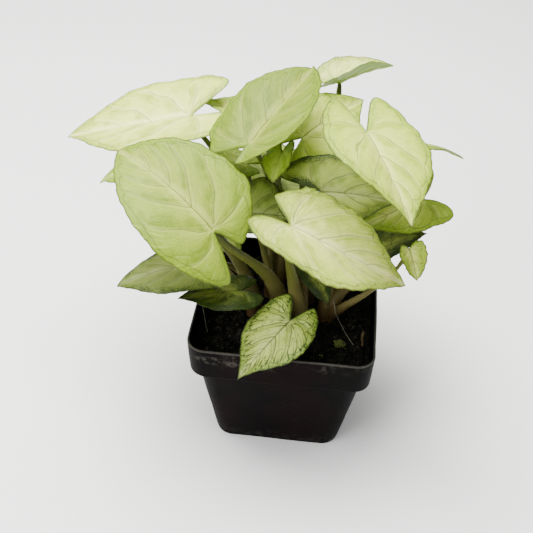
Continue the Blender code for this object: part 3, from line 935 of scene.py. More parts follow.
@dataclass
class Blade:
    """A leaf's blade as a fine two-sided shell with pressed-in veins."""

    leaf: Leaf
    pitch: float = 0.50
    thickness: float = 0.34
    thin_edge: float = 0.35
    keel: float = 0.55
    notch_depth: float = 0.03
    slant: float = 0.65
    waves: float = 2.5
    ripples: float = 9.0
    arch: float = 0.13
    lobe_veins: float = 2.2
    quilt: float = 0.034
    vein_depth: float = 0.10
    vein_width: float = 0.55
    rib_depth: float = 0.26
    rib_width: float = 0.75
    curve_points: int = 120

    def __post_init__(self) -> None:
        """Work out the blade's length and how finely it is divided."""
        self.size = self.leaf.length()
        self.stations = int(np.clip(1.55 * self.size / self.pitch, 48, 150))
        self.rows = int(np.clip(0.50 * self.size / self.pitch, 14, 44))

    def edge(self, side: int) -> np.ndarray:
        """Give one half's edge in the flat, from the tip round the lobe to the notch.

        Args:
            side: 0 for the left half, 1 for the right.

        Returns:
            Places ahead and across, one per station.
        """
        leaf = self.leaf
        point, notch = math.radians(leaf.point), math.radians(leaf.notch[side])
        belly = np.array([leaf.widest, leaf.width[side]])
        lobe = np.array([-leaf.lobe_back[side], leaf.lobe_out[side]])
        tip, root = np.array([1.0, 0.0]), np.array([-self.notch_depth, 0.0])
        reach = float(np.hypot(*lobe))
        turn = np.array([-lobe[1], lobe[0]]) / reach
        ahead = 1.0 - leaf.widest
        count = self.curve_points
        front = cubic(tip, tip + leaf.full * ahead * np.array([-math.cos(point), math.sin(point)]),
                      belly + np.array([0.45 * ahead, 0.0]), belly, count)
        flank = cubic(belly, belly - np.array([leaf.hip * (leaf.widest - lobe[0]), 0.0]),
                      lobe - 0.38 * leaf.width[side] * turn, lobe, count)
        inner = cubic(lobe, lobe + min(0.28 * leaf.width[side], 0.45 * lobe[1]) * turn,
                      root + 0.45 * reach * np.array([-math.cos(notch), math.sin(notch)]), root,
                      count)
        edge = np.vstack([front, flank[1:], inner[1:]]) * self.size
        walked = np.r_[0.0, np.cumsum(np.hypot(*np.diff(edge, axis=0).T))]
        places = np.linspace(0.0, walked[-1], self.stations)
        even = np.stack([np.interp(places, walked, edge[:, axis]) for axis in (0, 1)], axis=-1)
        return self._frill(even, places / walked[-1], side)

    def _frill(self, edge: np.ndarray, share: np.ndarray, side: int) -> np.ndarray:
        """Let the outline itself run a little in and out, as a grown edge does.

        Args:
            edge: the half's smooth edge.
            share: how far along it each station is.
            side: 0 for the left half, 1 for the right.

        Returns:
            The edge with its small ripples.
        """
        heading = np.gradient(edge, axis=0)
        heading /= np.maximum(np.hypot(*heading.T)[:, None], 1e-6)
        out = np.stack([heading[:, 1], -heading[:, 0]], axis=-1)
        phase = self.leaf.phase * 3.0 + side
        run = (0.6 * np.sin(TAU * 8.0 * share + phase)
               + 0.4 * np.sin(TAU * 19.0 * share + 2 * phase))
        quiet = np.clip(np.sin(math.pi * np.clip(share / 0.86, 0.0, 1.0)), 0.0, 1.0) ** 0.5
        return edge - out * (self.leaf.ruffle * run * quiet)[:, None]

    def roots(self, edges: Sequence[np.ndarray]) -> np.ndarray:
        """Give the places along the midrib where both halves' side veins start, one per station."""
        starts = [np.clip(edge[:, 0] - self.slant * edge[:, 1], 0.0, self.size) for edge in edges]
        return np.minimum.accumulate((starts[0] + starts[1]) / 2.0)

    def vein_numbers(self, roots: np.ndarray) -> np.ndarray:
        """Number the side veins along the edge, so that each one lies at a whole number.

        Args:
            roots: where the veins start on the midrib.

        Returns:
            One number per station.
        """
        station = np.linspace(0.0, 1.0, self.stations)
        first = int(np.argmax(roots <= 1e-6)) or self.stations - 1
        lobes = np.clip((station - station[first]) / max(1e-6, 1.0 - station[first]), 0.0, 1.0)
        return self.leaf.side_veins * (1.0 - roots / self.size) ** 0.9 + self.lobe_veins * lobes

    def half(self, side: int, edge: np.ndarray, roots: np.ndarray) -> dict[str, np.ndarray]:
        """Work out one half of the blade.

        Args:
            side: 0 for the left half, 1 for the right.
            edge: the half's edge in the flat.
            roots: where its veins start on the midrib.

        Returns:
            Grids by name: the flat places, the fields for the finish and the place in space.
        """
        leaf = self.leaf
        share = np.linspace(0.0, 1.0, self.rows + 1)[None, :]
        station = np.linspace(0.0, 1.0, self.stations)[:, None]
        root = roots[:, None]
        along = root + share * (edge[:, :1] - root)
        out = share * edge[:, 1:]
        arched = np.clip(station + self.arch * share ** 1.5, 0.0, 1.0)
        numbers = np.interp(arched.ravel(), station.ravel(), self.vein_numbers(roots))
        numbers = numbers.reshape(along.shape)
        gap = self._gap(along, out, numbers)
        margin = self._margin(along, out, edge)
        lift = self._lift(along, out, share, station, numbers, gap, margin, side)
        space = self._space(along, out, lift, side)
        last = leaf.side_veins + self.lobe_veins - 0.35
        strong = np.where(numbers > leaf.side_veins - 1.4, 1.0, 0.76)
        strong = strong * np.clip((last - numbers) / 0.5, 0.0, 1.0)
        return {"space": space, "ahead": along, "across": out if side == 0 else -out,
                "out": share + 0 * along, "numbers": numbers, "strength": strong, "gap": gap,
                "margin": margin}

    @staticmethod
    def _gap(along: np.ndarray, out: np.ndarray, numbers: np.ndarray) -> np.ndarray:
        """Give the local distance between two side veins, in millimetres.

        Args:
            along: the grid's places along the midrib.
            out: the grid's distances from the midrib.
            numbers: the grid's vein numbers.

        Returns:
            The distances.
        """
        along_a, along_t = np.gradient(along)
        out_a, out_t = np.gradient(out)
        number_a, number_t = np.gradient(numbers)
        area = along_a * out_t - along_t * out_a
        area = np.where(np.abs(area) < 1e-4, np.sign(area + 1e-9) * 1e-4, area)
        slope_x = (number_a * out_t - number_t * out_a) / area
        slope_y = (number_t * along_a - number_a * along_t) / area
        return np.clip(1.0 / np.maximum(np.hypot(slope_x, slope_y), 1e-4), 0.05, 14.0)

    @staticmethod
    def _margin(along: np.ndarray, out: np.ndarray, edge: np.ndarray) -> np.ndarray:
        """Give each point's distance to the blade's edge in the flat.

        Args:
            along: the grid's places along the midrib.
            out: the grid's distances from the midrib.
            edge: the half's edge in the flat.

        Returns:
            The distances.
        """
        flat = np.stack([along.ravel(), out.ravel()], axis=-1)
        result = np.full(len(flat), 1e3)
        start, step = edge[:-1], np.diff(edge, axis=0)
        square = np.maximum((step ** 2).sum(axis=1), 1e-9)
        for place, move, size in zip(start, step, square):
            share = np.clip(((flat - place) @ move) / size, 0.0, 1.0)
            gap = flat - place - share[:, None] * move
            result = np.minimum(result, (gap ** 2).sum(axis=1))
        return np.sqrt(result).reshape(along.shape)

    def _lift(self, along: np.ndarray, out: np.ndarray, share: np.ndarray, station: np.ndarray,
              numbers: np.ndarray, gap: np.ndarray, margin: np.ndarray, side: int) -> np.ndarray:
        """Work out the low relief: waves at the edge, quilted flesh and pressed-in veins.

        Args:
            along: the grid's places along the midrib.
            out: the grid's distances from the midrib.
            share: how far out each row is, from 0 to 1.
            station: how far round the edge each station is, from 0 to 1.
            numbers: the vein numbers.
            gap: the distances between veins.
            margin: the distances to the edge.
            side: 0 for the left half, 1 for the right.

        Returns:
            The relief's heights.
        """
        leaf = self.leaf
        ripple = np.sin(TAU * self.waves * station + leaf.phase + 2.0 * side)
        quiet = np.sin(math.pi * station) ** 0.5
        lift = leaf.wave * quiet * ripple * share ** 2
        frill = np.sin(TAU * self.ripples * station + 3.0 * leaf.phase + side)
        lift = lift + 0.45 * leaf.ruffle * frill * quiet * np.exp(-margin / 2.2)
        way = np.abs((numbers + 0.5) % 1.0 - 0.5) * gap
        body = np.clip(margin / 2.5, 0.0, 1.0)
        swell = 0.5 - 0.5 * np.cos(TAU * numbers)
        lift = lift + self.quilt * np.clip(gap, 0.0, 8.0) * swell * body
        lift = lift - self.vein_depth * np.exp(-(way / self.vein_width) ** 2) * body
        rib = np.exp(-(np.hypot(out, np.clip(-along, 0.0, None)) / self.rib_width) ** 2)
        lift = lift - self.rib_depth * rib * (1.0 - 0.75 * np.clip(along / self.size, 0.0, 1.0))
        return lift + leaf.curl[side] * np.clip(1.0 - margin / 5.0, 0.0, 1.0) ** 2

    def _space(self, along: np.ndarray, out: np.ndarray, lift: np.ndarray, side: int) -> np.ndarray:
        """Lay the flat half on its arched, folded surface in space.

        Args:
            along: the grid's places along the midrib.
            out: the grid's distances from the midrib.
            lift: the relief's heights.
            side: 0 for the left half, 1 for the right.

        Returns:
            The places in space.
        """
        leaf = self.leaf
        across, rise = strip(out, math.radians(leaf.fold[side]), leaf.droop[side])
        rise = rise + lift
        across = across if side == 0 else -across
        ahead, up, slope = self._midrib(along)
        turn = math.radians(leaf.twist) * along / self.size
        across, rise = (across * np.cos(turn) - rise * np.sin(turn),
                        across * np.sin(turn) + rise * np.cos(turn))
        forward, left, face = leaf.axes()
        return (np.array(leaf.joint, float) + (ahead - rise * np.sin(slope))[..., None] * forward
                + across[..., None] * left + (up + rise * np.cos(slope))[..., None] * face)

    def _midrib(self, along: np.ndarray) -> tuple[np.ndarray, np.ndarray, np.ndarray]:
        """Give the midrib's places and slopes, also where it runs back between the lobes.

        Args:
            along: places along it, which are negative between the lobes.

        Returns:
            How far ahead and up each is, and the slope there.
        """
        bend = math.radians(self.leaf.bend)
        slope = bend / 2.0 - bend * along / self.size
        if abs(bend) < 1e-4:
            ahead, up = along.copy(), np.zeros_like(along)
        else:
            radius = self.size / bend
            ahead = radius * (math.sin(bend / 2.0) - np.sin(slope))
            up = radius * (np.cos(slope) - math.cos(bend / 2.0))
        behind = along < 0.0
        back, rise = strip(-along[behind], -bend / 2.0, self.leaf.sag)
        ahead[behind], up[behind] = -back, rise
        slope[behind] = bend / 2.0 - np.radians(self.leaf.sag) / 10.0 * along[behind]
        return ahead, up, slope

    def build(self, material: Any) -> Any:
        """Build the blade's closed shell.

        Args:
            material: its finish.

        Returns:
            The blade's object.
        """
        edges = [self.edge(side) for side in (0, 1)]
        roots = self.roots(edges)
        halves = [self.half(side, edges[side], roots) for side in (0, 1)]
        joined = {}
        for key, grid in halves[0].items():
            flat = [half[key].reshape(-1, *grid.shape[2:]) for half in halves]
            joined[key] = np.concatenate(flat)
        cells = grid_faces(self.stations, self.rows + 1)
        count = self.stations * (self.rows + 1)
        sheet = Sheet(joined["space"], np.concatenate([cells, cells[:, ::-1] + count]))
        sheet.weld()
        return self._shell(sheet, joined, material)

    def _shell(self, sheet: Sheet, fields: dict[str, np.ndarray], material: Any) -> Any:
        """Thicken the welded surface, close its edge and store the fields that the finish reads.

        Args:
            sheet: the welded surface.
            fields: the grids by name.
            material: the finish.

        Returns:
            The blade's object.
        """
        normals = sheet.normals()
        count = len(sheet.points)
        margin = np.zeros(count)
        rib = np.zeros(count)
        margin[sheet.faces] = fields["margin"][sheet.source]
        spine = np.exp(-(fields["across"] / 0.55) ** 2) * (fields["ahead"] > -0.8)
        spine = spine * (1.0 - 0.8 * np.clip(fields["ahead"] / self.size, 0.0, 1.0))
        rib[sheet.faces] = spine[sheet.source]
        whole = np.clip(margin / 1.2, 0.0, 1.0)
        half = 0.5 * self.thickness * (self.thin_edge + (1.0 - self.thin_edge) * whole)
        top = sheet.points + normals * half[:, None]
        low = sheet.points - normals * (half + self.keel * rib)[:, None]
        rim = sheet.rim()
        walls = np.stack([rim[:, 1], rim[:, 0], rim[:, 0] + count, rim[:, 1] + count], axis=-1)
        faces = np.concatenate([sheet.faces, sheet.faces[:, ::-1] + count, walls])
        source = np.concatenate([sheet.source, sheet.source[:, ::-1], np.full_like(walls, -1)])
        return self._finish(np.concatenate([top, low]), faces, source, fields, len(sheet.faces),
                            material)

    def _finish(self, points: np.ndarray, faces: np.ndarray, source: np.ndarray,
                fields: dict[str, np.ndarray], tops: int, material: Any) -> Any:
        """Make the object and its corner attributes.

        Args:
            points: all vertices.
            faces: four vertex numbers a face, some of them the same.
            source: the grid numbers that the corners read their fields from, or -1 on the wall.
            fields: the grids by name.
            tops: how many of the faces are on the upper side.
            material: the finish.

        Returns:
            The blade's object.
        """
        under = np.zeros(faces.shape)
        under[tops:2 * tops] = 1.0
        polygons, corners, backs = [], [], []
        for face, where, back in zip(faces.tolist(), source.tolist(), under.tolist()):
            keep = [index for index in range(4) if face[index] != face[index - 1]]
            if len(keep) < 3:
                continue
            polygons.append([face[index] for index in keep])
            corners.extend(where[index] for index in keep)
            backs.extend(back[index] for index in keep)
        item = mesh_object(self.leaf.name + "_leaf", points, polygons, [material])
        where, back = np.array(corners), np.array(backs)
        wall = where < 0
        read = {name: np.where(wall, 0.0, field_of[where]) for name, field_of in fields.items()
                if name != "space"}
        along = np.clip(read["ahead"] / self.size, 0.0, 1.0)
        self._store(item, "leaf_place", read["ahead"], read["across"], along)
        self._store(item, "vein_place", read["numbers"], read["out"], read["strength"])
        self._store(item, "leaf_edge", read["margin"], np.where(wall, 5.0, read["gap"]), back)
        return item

    @staticmethod
    def _store(item: Any, name: str, *values: np.ndarray) -> None:
        """Keep three values for each face corner."""
        layer = item.data.attributes.new(name, "FLOAT_VECTOR", "CORNER")
        layer.data.foreach_set("vector", np.stack(values, axis=-1).astype(np.float32).ravel())


LEAVES: tuple[Leaf, ...] = (
    Leaf("blade_upper_left", "rear", (-44, 32, 115), (-94, 36, 98), Skin.CREAM, roll=-5, bend=2,
         fold=(22, 22), droop=(12, 12), sag=2, width=(0.45, 0.47), widest=0.16,
         lobe_back=(0.45, 0.24), lobe_out=(0.24, 0.33), point=44, full=0.30, hip=0.30,
         notch=(6, 50), wave=0.7, phase=0.4, sway=(0, 2, 6), ruffle=0.35),
    Leaf("blade_left_front", "middle", (-26, -25, 106), (-63, -2, 119), Skin.PALE, roll=-15,
         bend=46, fold=(19, 18), droop=(9, 8), sag=18, twist=-5, width=(0.47, 0.46),
         lobe_back=(0.37, 0.22), lobe_out=(0.18, 0.14), point=52, full=0.37, hip=0.28,
         notch=(27, 36), phase=1.5, sway=(2, 0, 0), stalk=1.25, side_veins=5, ruffle=0.3),
    Leaf("blade_top_middle", "rear", (-17, 3, 123), (2, 38, 136), Skin.MEADOW, roll=-14, bend=12,
         fold=(24, 16), droop=(18, 4), sag=-2, twist=16, width=(0.46, 0.45), widest=0.06,
         lobe_back=(0.16, 0.25), lobe_out=(0.31, 0.04), point=58, full=0.40, hip=0.47,
         notch=(60, 6), wave=0.6, phase=2.2, sway=(2, 13, 4), curl=(0.0, 1.6), ruffle=0.35),
    Leaf("blade_right_front", "back", (23, 1, 133), (39, -35, 122), Skin.LIME, roll=-14, bend=14,
         fold=(19, 18), droop=(9, 19), sag=0, twist=-9, width=(0.45, 0.46), widest=0.25,
         lobe_back=(0.38, 0.41), lobe_out=(0.27, 0.15), point=30, full=0.38, hip=0.44,
         notch=(32, 1), wave=0.6, phase=0.9, entry=0.3, sway=(2, 20, 8), stalk=1.2, ruffle=0.35),
    Leaf("blade_centre_front", "front", (1, -23, 109), (42, -21, 86), Skin.CREAM, roll=4, bend=0,
         fold=(19, 18), droop=(6, 12), sag=-6, twist=9, width=(0.43, 0.43), widest=0.20,
         lobe_back=(0.18, 0.38), lobe_out=(0.20, 0.36), point=40, full=0.24, hip=0.32,
         notch=(58, 12), wave=0.8, phase=3.0, sway=(-2, 5, 0), stalk=1.15, side_veins=5,
         ruffle=0.5),
    Leaf("blade_low_front", "front", (2, -23, 65), (-14, -45, 55), Skin.NETTED, bend=6, fold=(8, 8),
         droop=(11, 11), sag=6, twist=3, width=(0.46, 0.45), widest=0.20, lobe_back=(0.34, 0.30),
         lobe_out=(0.16, 0.30), point=28, full=0.44, hip=0.38, notch=(18, 36), wave=0.35, phase=0.2,
         stalk=0.7),
    Leaf("blade_middle_mottled", "back", (9.5, 3, 106), (38, 9, 100), Skin.MOTTLED, roll=32,
         bend=28, fold=(12, 8), droop=(6, 8), sag=8, twist=4, width=(0.46, 0.48), widest=0.07,
         lobe_back=(0.52, 0.50), lobe_out=(0.24, 0.26), point=24, full=0.56, wave=0.4),
    Leaf("blade_right_low", "right", (47, 18, 96), (24, 4, 90), Skin.PALE, roll=-36, bend=20,
         width=(0.42, 0.46), lobe_back=(0.30, 0.32), lobe_out=(0.38, 0.38), point=28, hip=0.55,
         wave=0.3, sway=(2, 6, -4)),
    Leaf("blade_right_dark", "right", (33, 9, 77), (50, 8, 88), Skin.DARK, roll=14),
    Leaf("blade_right_small", "right", (43, -6, 90.5), (46.5, -14, 83), Skin.LIME, stalk=0.7,
         lobe_back=(0.16, 0.10), lobe_out=(0.50, 0.34), width=(0.50, 0.42), point=50,
         sway=(2, -4, -8), side_veins=3),
    Leaf("blade_left_low_mottled", "left", (-34, -13, 79), (-62, -22, 73), Skin.GREYED, roll=4,
         bend=30, fold=(4, 4), droop=(14, 14), width=(0.45, 0.45), widest=0.15, point=48,
         sway=(0, 13, 2), stalk=0.8),
    Leaf("blade_left_low_dark", "left", (-17, -15, 71), (-39, -24, 72), Skin.DARK, bend=6,
         fold=(2, 2), droop=(10, 10), sag=10, width=(0.44, 0.44), stalk=0.8,
         lobe_back=(0.30, 0.30)),
    Leaf("blade_middle_shaded", "middle", (-16, 2, 94), (2, -2, 97), Skin.SHADED, roll=34,
         width=(0.74, 0.46), stalk=0.8),
    Leaf("blade_middle_small", "rear", (-6, 8, 118), (-8, -3, 112), Skin.FRESH, roll=24, twist=-16,
         width=(0.46, 0.48), point=50, full=0.50, notch=(30, 30), sway=(-4, 6, 0), stalk=0.6,
         side_veins=3),
    Leaf("blade_top_right_wide", "back", (0.5, 25, 114.5), (22, 47, 120), Skin.LIME, roll=14,
         bend=26, fold=(12, 11), sag=6, twist=5, width=(0.50, 0.51), full=0.46,
         lobe_back=(0.32, 0.44), lobe_out=(0.20, 0.30)),
    Leaf("blade_back_left_high", "rear", (-19, 40, 112), (-43, 44, 115), Skin.LIME, roll=8, bend=4,
         fold=(16, 16), droop=(2, 2), width=(0.42, 0.42), sway=(8, 0, 4)),
    Leaf("blade_top_folded", "back", (12, 52.5, 123.8), (33, 68, 124.6), Skin.FOLDED, roll=-4,
         fold=(28, 52), droop=(4, 4), width=(0.40, 0.34), notch=(30, 30), sway=(2, 0, 2)),
    Leaf("blade_far_right", "back", (37, 14, 123), (60, 22, 113), Skin.PALE, roll=-26, bend=24,
         fold=(0, 4), droop=(18, 15), width=(0.46, 0.46), sway=(0, 12, 0)),
    Leaf("blade_far_left", "left", (-53, 6, 110), (-74, 8, 97), Skin.PALE, roll=-5, bend=20),
    Leaf("blade_right_lowest", "front", (8, -3, 74), (16, -10, 63), Skin.DARK, stalk=0.8,
         side_veins=3),
    Leaf("blade_back_left", "rear", (-20, 17, 105.5), (-42, 20, 102), Skin.PALE, phase=0.7,
         fold=(8, 8), width=(0.46, 0.36), lobe_back=(0.28, 0.42), lobe_out=(0.25, 0.28)),
    Leaf("blade_back_middle", "rear", (-8.5, 34.5, 86.5), (-12, 70, 83), Skin.SHADED, phase=1.9,
         fold=(8, 8), width=(0.55, 0.46)),
    Leaf("blade_back_right", "right", (28, 34, 84), (44, 56, 72), Skin.LIME, sway=(-2, 0, 4),
         phase=2.6),
    Leaf("blade_back_low_left", "left", (-32, 12, 66), (-54, 24, 58), Skin.MOTTLED, stalk=0.8,
         phase=1.1),
    Leaf("blade_back_low_right", "back", (20, 25, 68), (32, 50, 58), Skin.MOTTLED, stalk=0.8,
         phase=3.3),
)


@dataclass
class Foliage:
    """All the blades."""

    leaves: tuple[Leaf, ...] = LEAVES
    finishes: dict[Skin, Any] = field(default_factory=dict)

    def build(self) -> list:
        """Build and dress every blade.

        Returns:
            The blades' objects.
        """
        items = []
        for leaf in self.leaves:
            if leaf.skin not in self.finishes:
                self.finishes[leaf.skin] = leaf.skin.value.material()
            item = Blade(leaf).build(self.finishes[leaf.skin])
            items.append(settle(item, leaf.name))
        return items


# ---- Geometry Nodes ----

def apply_modifier(item: Any, modifier: Any) -> None:
    """Turn an object and its one modifier into a plain mesh.

    Args:
        item: the object.
        modifier: its modifier, which is removed.
    """
    bpy.context.view_layer.update()
    evaluated = item.evaluated_get(bpy.context.evaluated_depsgraph_get())
    made = bpy.data.meshes.new_from_object(evaluated)
    item.modifiers.remove(modifier)
    item.data = made


class Grower(Graph):
    """A Geometry Nodes tree with named inputs, run once on an object and turned into its mesh."""

    def __init__(self, name: str) -> None:
        """Start an empty tree.

        Args:
            name: the tree's name.
        """
        tree = bpy.data.node_groups.new(name, "GeometryNodeTree")
        super().__init__(tree)
        self.values: dict[str, Any] = {}
        tree.interface.new_socket("Geometry", in_out="INPUT", socket_type="NodeSocketGeometry")
        tree.interface.new_socket("Geometry", in_out="OUTPUT", socket_type="NodeSocketGeometry")
        self.entry = tree.nodes.new("NodeGroupInput")
        self.exit = tree.nodes.new("NodeGroupOutput")
        self.geometry = Sock(self, self.entry.outputs[0])

    def value(self, name: str, amount: Any, kind: str = "Float") -> Sock:
        """Add a named input to the tree.

        Args:
            name: its name.
            amount: its value.
            kind: the socket type's last word.

        Returns:
            The input as a socket.
        """
        item = self.tree.interface.new_socket(name, in_out="INPUT", socket_type="NodeSocket" + kind)
        self.values[item.identifier] = amount
        for output in self.entry.outputs:
            if output.identifier == item.identifier:
                return Sock(self, output)
        raise LookupError(name)

    def wander(self, noise: dict, amount: Any) -> Sock:
        """Give a smooth random shift at each place.

        Args:
            noise: the noise's own inputs.
            amount: the size of the shift.

        Returns:
            The shift, centred on nothing.
        """
        kind, middle = "ShaderNodeVectorMath", (0.5, 0.5, 0.5)
        cloud = self.node("ShaderNodeTexNoise", noise, out="Color")
        shift = self.node(kind, {0: cloud, 1: middle}, operation="SUBTRACT")
        return self.node(kind, {0: shift, "Scale": amount}, operation="SCALE")

    def close(self, geometry: Sock, material: Any) -> None:
        """End the tree with real geometry and its material.

        Args:
            geometry: what the tree has made.
            material: the finish of all of it.
        """
        solid = self.node("GeometryNodeRealizeInstances", {"Geometry": geometry})
        finish = self.value("Finish", material, "Material")
        dressed = self.node("GeometryNodeSetMaterial", {"Geometry": solid, "Material": finish})
        self.tree.links.new(dressed.socket, self.exit.inputs[0])

    def grow(self, item: Any) -> Any:
        """Run the tree on an object and keep the result as its own mesh.

        Args:
            item: the object whose geometry the tree starts from.

        Returns:
            The same object with its new mesh.
        """
        modifier = item.modifiers.new(self.tree.name, "NODES")
        modifier.node_group = self.tree
        for identifier, amount in self.values.items():
            modifier[identifier] = amount
        apply_modifier(item, modifier)
        return item


def paths_object(name: str, paths: Sequence[np.ndarray], radii: Sequence[np.ndarray]) -> Any:
    """Make an object of open lines, each point with its radius.

    Args:
        name: the object's name.
        paths: places in millimetres, one array for each line.
        radii: one radius for each place.

    Returns:
        The object.
    """
    points, edges = [], []
    for path in paths:
        start = len(points)
        points.extend((np.asarray(path) * MM).tolist())
        edges.extend((start + index, start + index + 1) for index in range(len(path) - 1))
    mesh = bpy.data.meshes.new(name)
    mesh.from_pydata(points, edges, [])
    thick = mesh.attributes.new("thick", "FLOAT", "POINT")
    thick.data.foreach_set("value", (np.concatenate(radii) * MM).astype(np.float32))
    item = bpy.data.objects.new(name, mesh)
    bpy.context.scene.collection.objects.link(item)
    return item


def tube_tree(name: str, sides: int, spacing: float, material: Any, knobs: float = 0.0) -> Grower:
    """Build the tree that turns lines into round, closed tubes.

    Args:
        name: the tree's name.
        sides: faces round each tube.
        spacing: the distance between rings, in metres.
        material: the tubes' finish.
        knobs: how far the surface wanders, in metres.

    Returns:
        The tree.
    """
    grower = Grower(name)
    curve = grower.node("GeometryNodeMeshToCurve", {"Mesh": grower.geometry})
    length = grower.value("Ring Spacing", spacing)
    curve = grower.node("GeometryNodeResampleCurve", {"Curve": curve, "Length": length},
                        mode="LENGTH")
    thick = grower.node("GeometryNodeInputNamedAttribute", {"Name": "thick"}, data_type="FLOAT")
    curve = grower.node("GeometryNodeSetCurveRadius", {"Curve": curve, "Radius": thick})
    count = grower.value("Sides", sides, "Int")
    ring = grower.node("GeometryNodeCurvePrimitiveCircle", {"Resolution": count, "Radius": 1.0})
    tube = grower.node("GeometryNodeCurveToMesh",
                       {"Curve": curve, "Profile Curve": ring, "Scale": thick, "Fill Caps": True})
    if knobs:
        amount = grower.value("Wander", knobs)
        fineness = grower.value("Wander Scale", 700.0)
        shift = grower.wander({"Scale": fineness}, amount)
        tube = grower.node("GeometryNodeSetPosition", {"Geometry": tube, "Offset": shift})
    tube = grower.node("GeometryNodeSetShadeSmooth", {"Geometry": tube})
    grower.close(tube, material)
    return grower


# ---- Shoots ----

@dataclass
class Shoot:
    """A shoot: a short sheathed stem and the stalks that fan out of it."""

    name: str
    foot: Pair
    radius: float
    soil_top: float = 49.0
    depth: float = 7.6
    rise: float = 9.0
    base_radius: float = 2.0
    neck_radius: float = 0.95
    steps: int = 44
    stem_steps: int = 16
    sides: int = 18
    ring_spacing: float = 0.0011
    unevenness: float = 0.00035
    crowding: float = 0.85
    sheath: float = 0.75
    collar: float = 0.16

    def stalk(self, leaf: Leaf) -> tuple[np.ndarray, np.ndarray]:
        """Work out a stalk's path and thickness.

        Args:
            leaf: the leaf it carries.

        Returns:
            The places and the radii, from the foot to the blade's underside.
        """
        joint = np.array(leaf.joint, float)
        lean = joint[:2] - np.array(self.foot)
        lean = lean / max(1.0, float(np.hypot(*lean)))
        spread = max(0.0, self.crowding * self.radius - self.base_radius * leaf.stalk)
        foot = np.array([*(np.array(self.foot) + spread * lean), self.soil_top])
        span = float(np.linalg.norm(joint - foot))
        face = leaf.axes()[2]
        entry = leaf.entry * face + (joint - foot) / span
        entry = entry / np.linalg.norm(entry)
        end = joint - entry * 0.55
        sway = np.array(leaf.sway, float)
        leave = foot + np.array([2.0 * lean[0], 2.0 * lean[1], 0.42 * span]) + sway
        path = cubic(foot, leave, end - 0.30 * span * entry + sway, end, self.steps)
        share = np.linspace(0.0, 1.0, self.steps)
        thick = (self.base_radius - self.neck_radius) * (1.0 - share) ** 1.5 + self.neck_radius
        sheathed = self.sheath * np.clip(1.0 - share / 0.55, 0.0, 1.0) ** 0.8
        swollen = self.collar * np.exp(-((share - 0.93) / 0.05) ** 2)
        thick = thick * leaf.stalk * (1.0 + sheathed + swollen)
        thick = thick * (1.0 - 0.35 * np.clip((share - 0.975) / 0.025, 0.0, 1.0))
        return path, thick

    def stem(self) -> tuple[np.ndarray, np.ndarray]:
        """Work out the stem's line and its thickness.

        Returns:
            The places and the radii, from under the mix to inside the stalks.
        """
        count = self.stem_steps
        height = np.linspace(self.soil_top - self.depth, self.soil_top + self.rise, count)
        share = np.linspace(0.0, 1.0, count)
        closing = 1.0 - 0.55 * np.clip((share - 0.8) / 0.2, 0.0, 1.0) ** 2
        thick = self.radius * (1.0 - 0.25 * share) * closing
        place = np.column_stack([np.tile(self.foot, (count, 1)), height])
        return place, thick * (1.0 + 0.05 * np.sin(share * 21.0))

    def build(self, material: Any) -> Any:
        """Build the shoot and dress it.

        Args:
            material: the stalks' finish.

        Returns:
            The shoot's object.
        """
        lines = [self.stem()] + [self.stalk(leaf) for leaf in LEAVES if leaf.shoot == self.name]
        node = "shoot_" + self.name
        item = paths_object(node + "_stalks", [path for path, _ in lines],
                            [thick for _, thick in lines])
        tree = tube_tree("stalk_tubes", self.sides, self.ring_spacing, material, self.unevenness)
        return settle(tree.grow(item), node)


SHOOTS: tuple[Shoot, ...] = (
    Shoot("left", (-12.0, -3.0), 2.8),
    Shoot("middle", (-2.0, -2.0), 4.0),
    Shoot("front", (6.0, -9.0), 3.4),
    Shoot("right", (15.0, -2.0), 3.2),
    Shoot("back", (5.0, 8.0), 4.2),
    Shoot("rear", (-5.5, 9.0), 4.0),
)


# ---- The pot ----

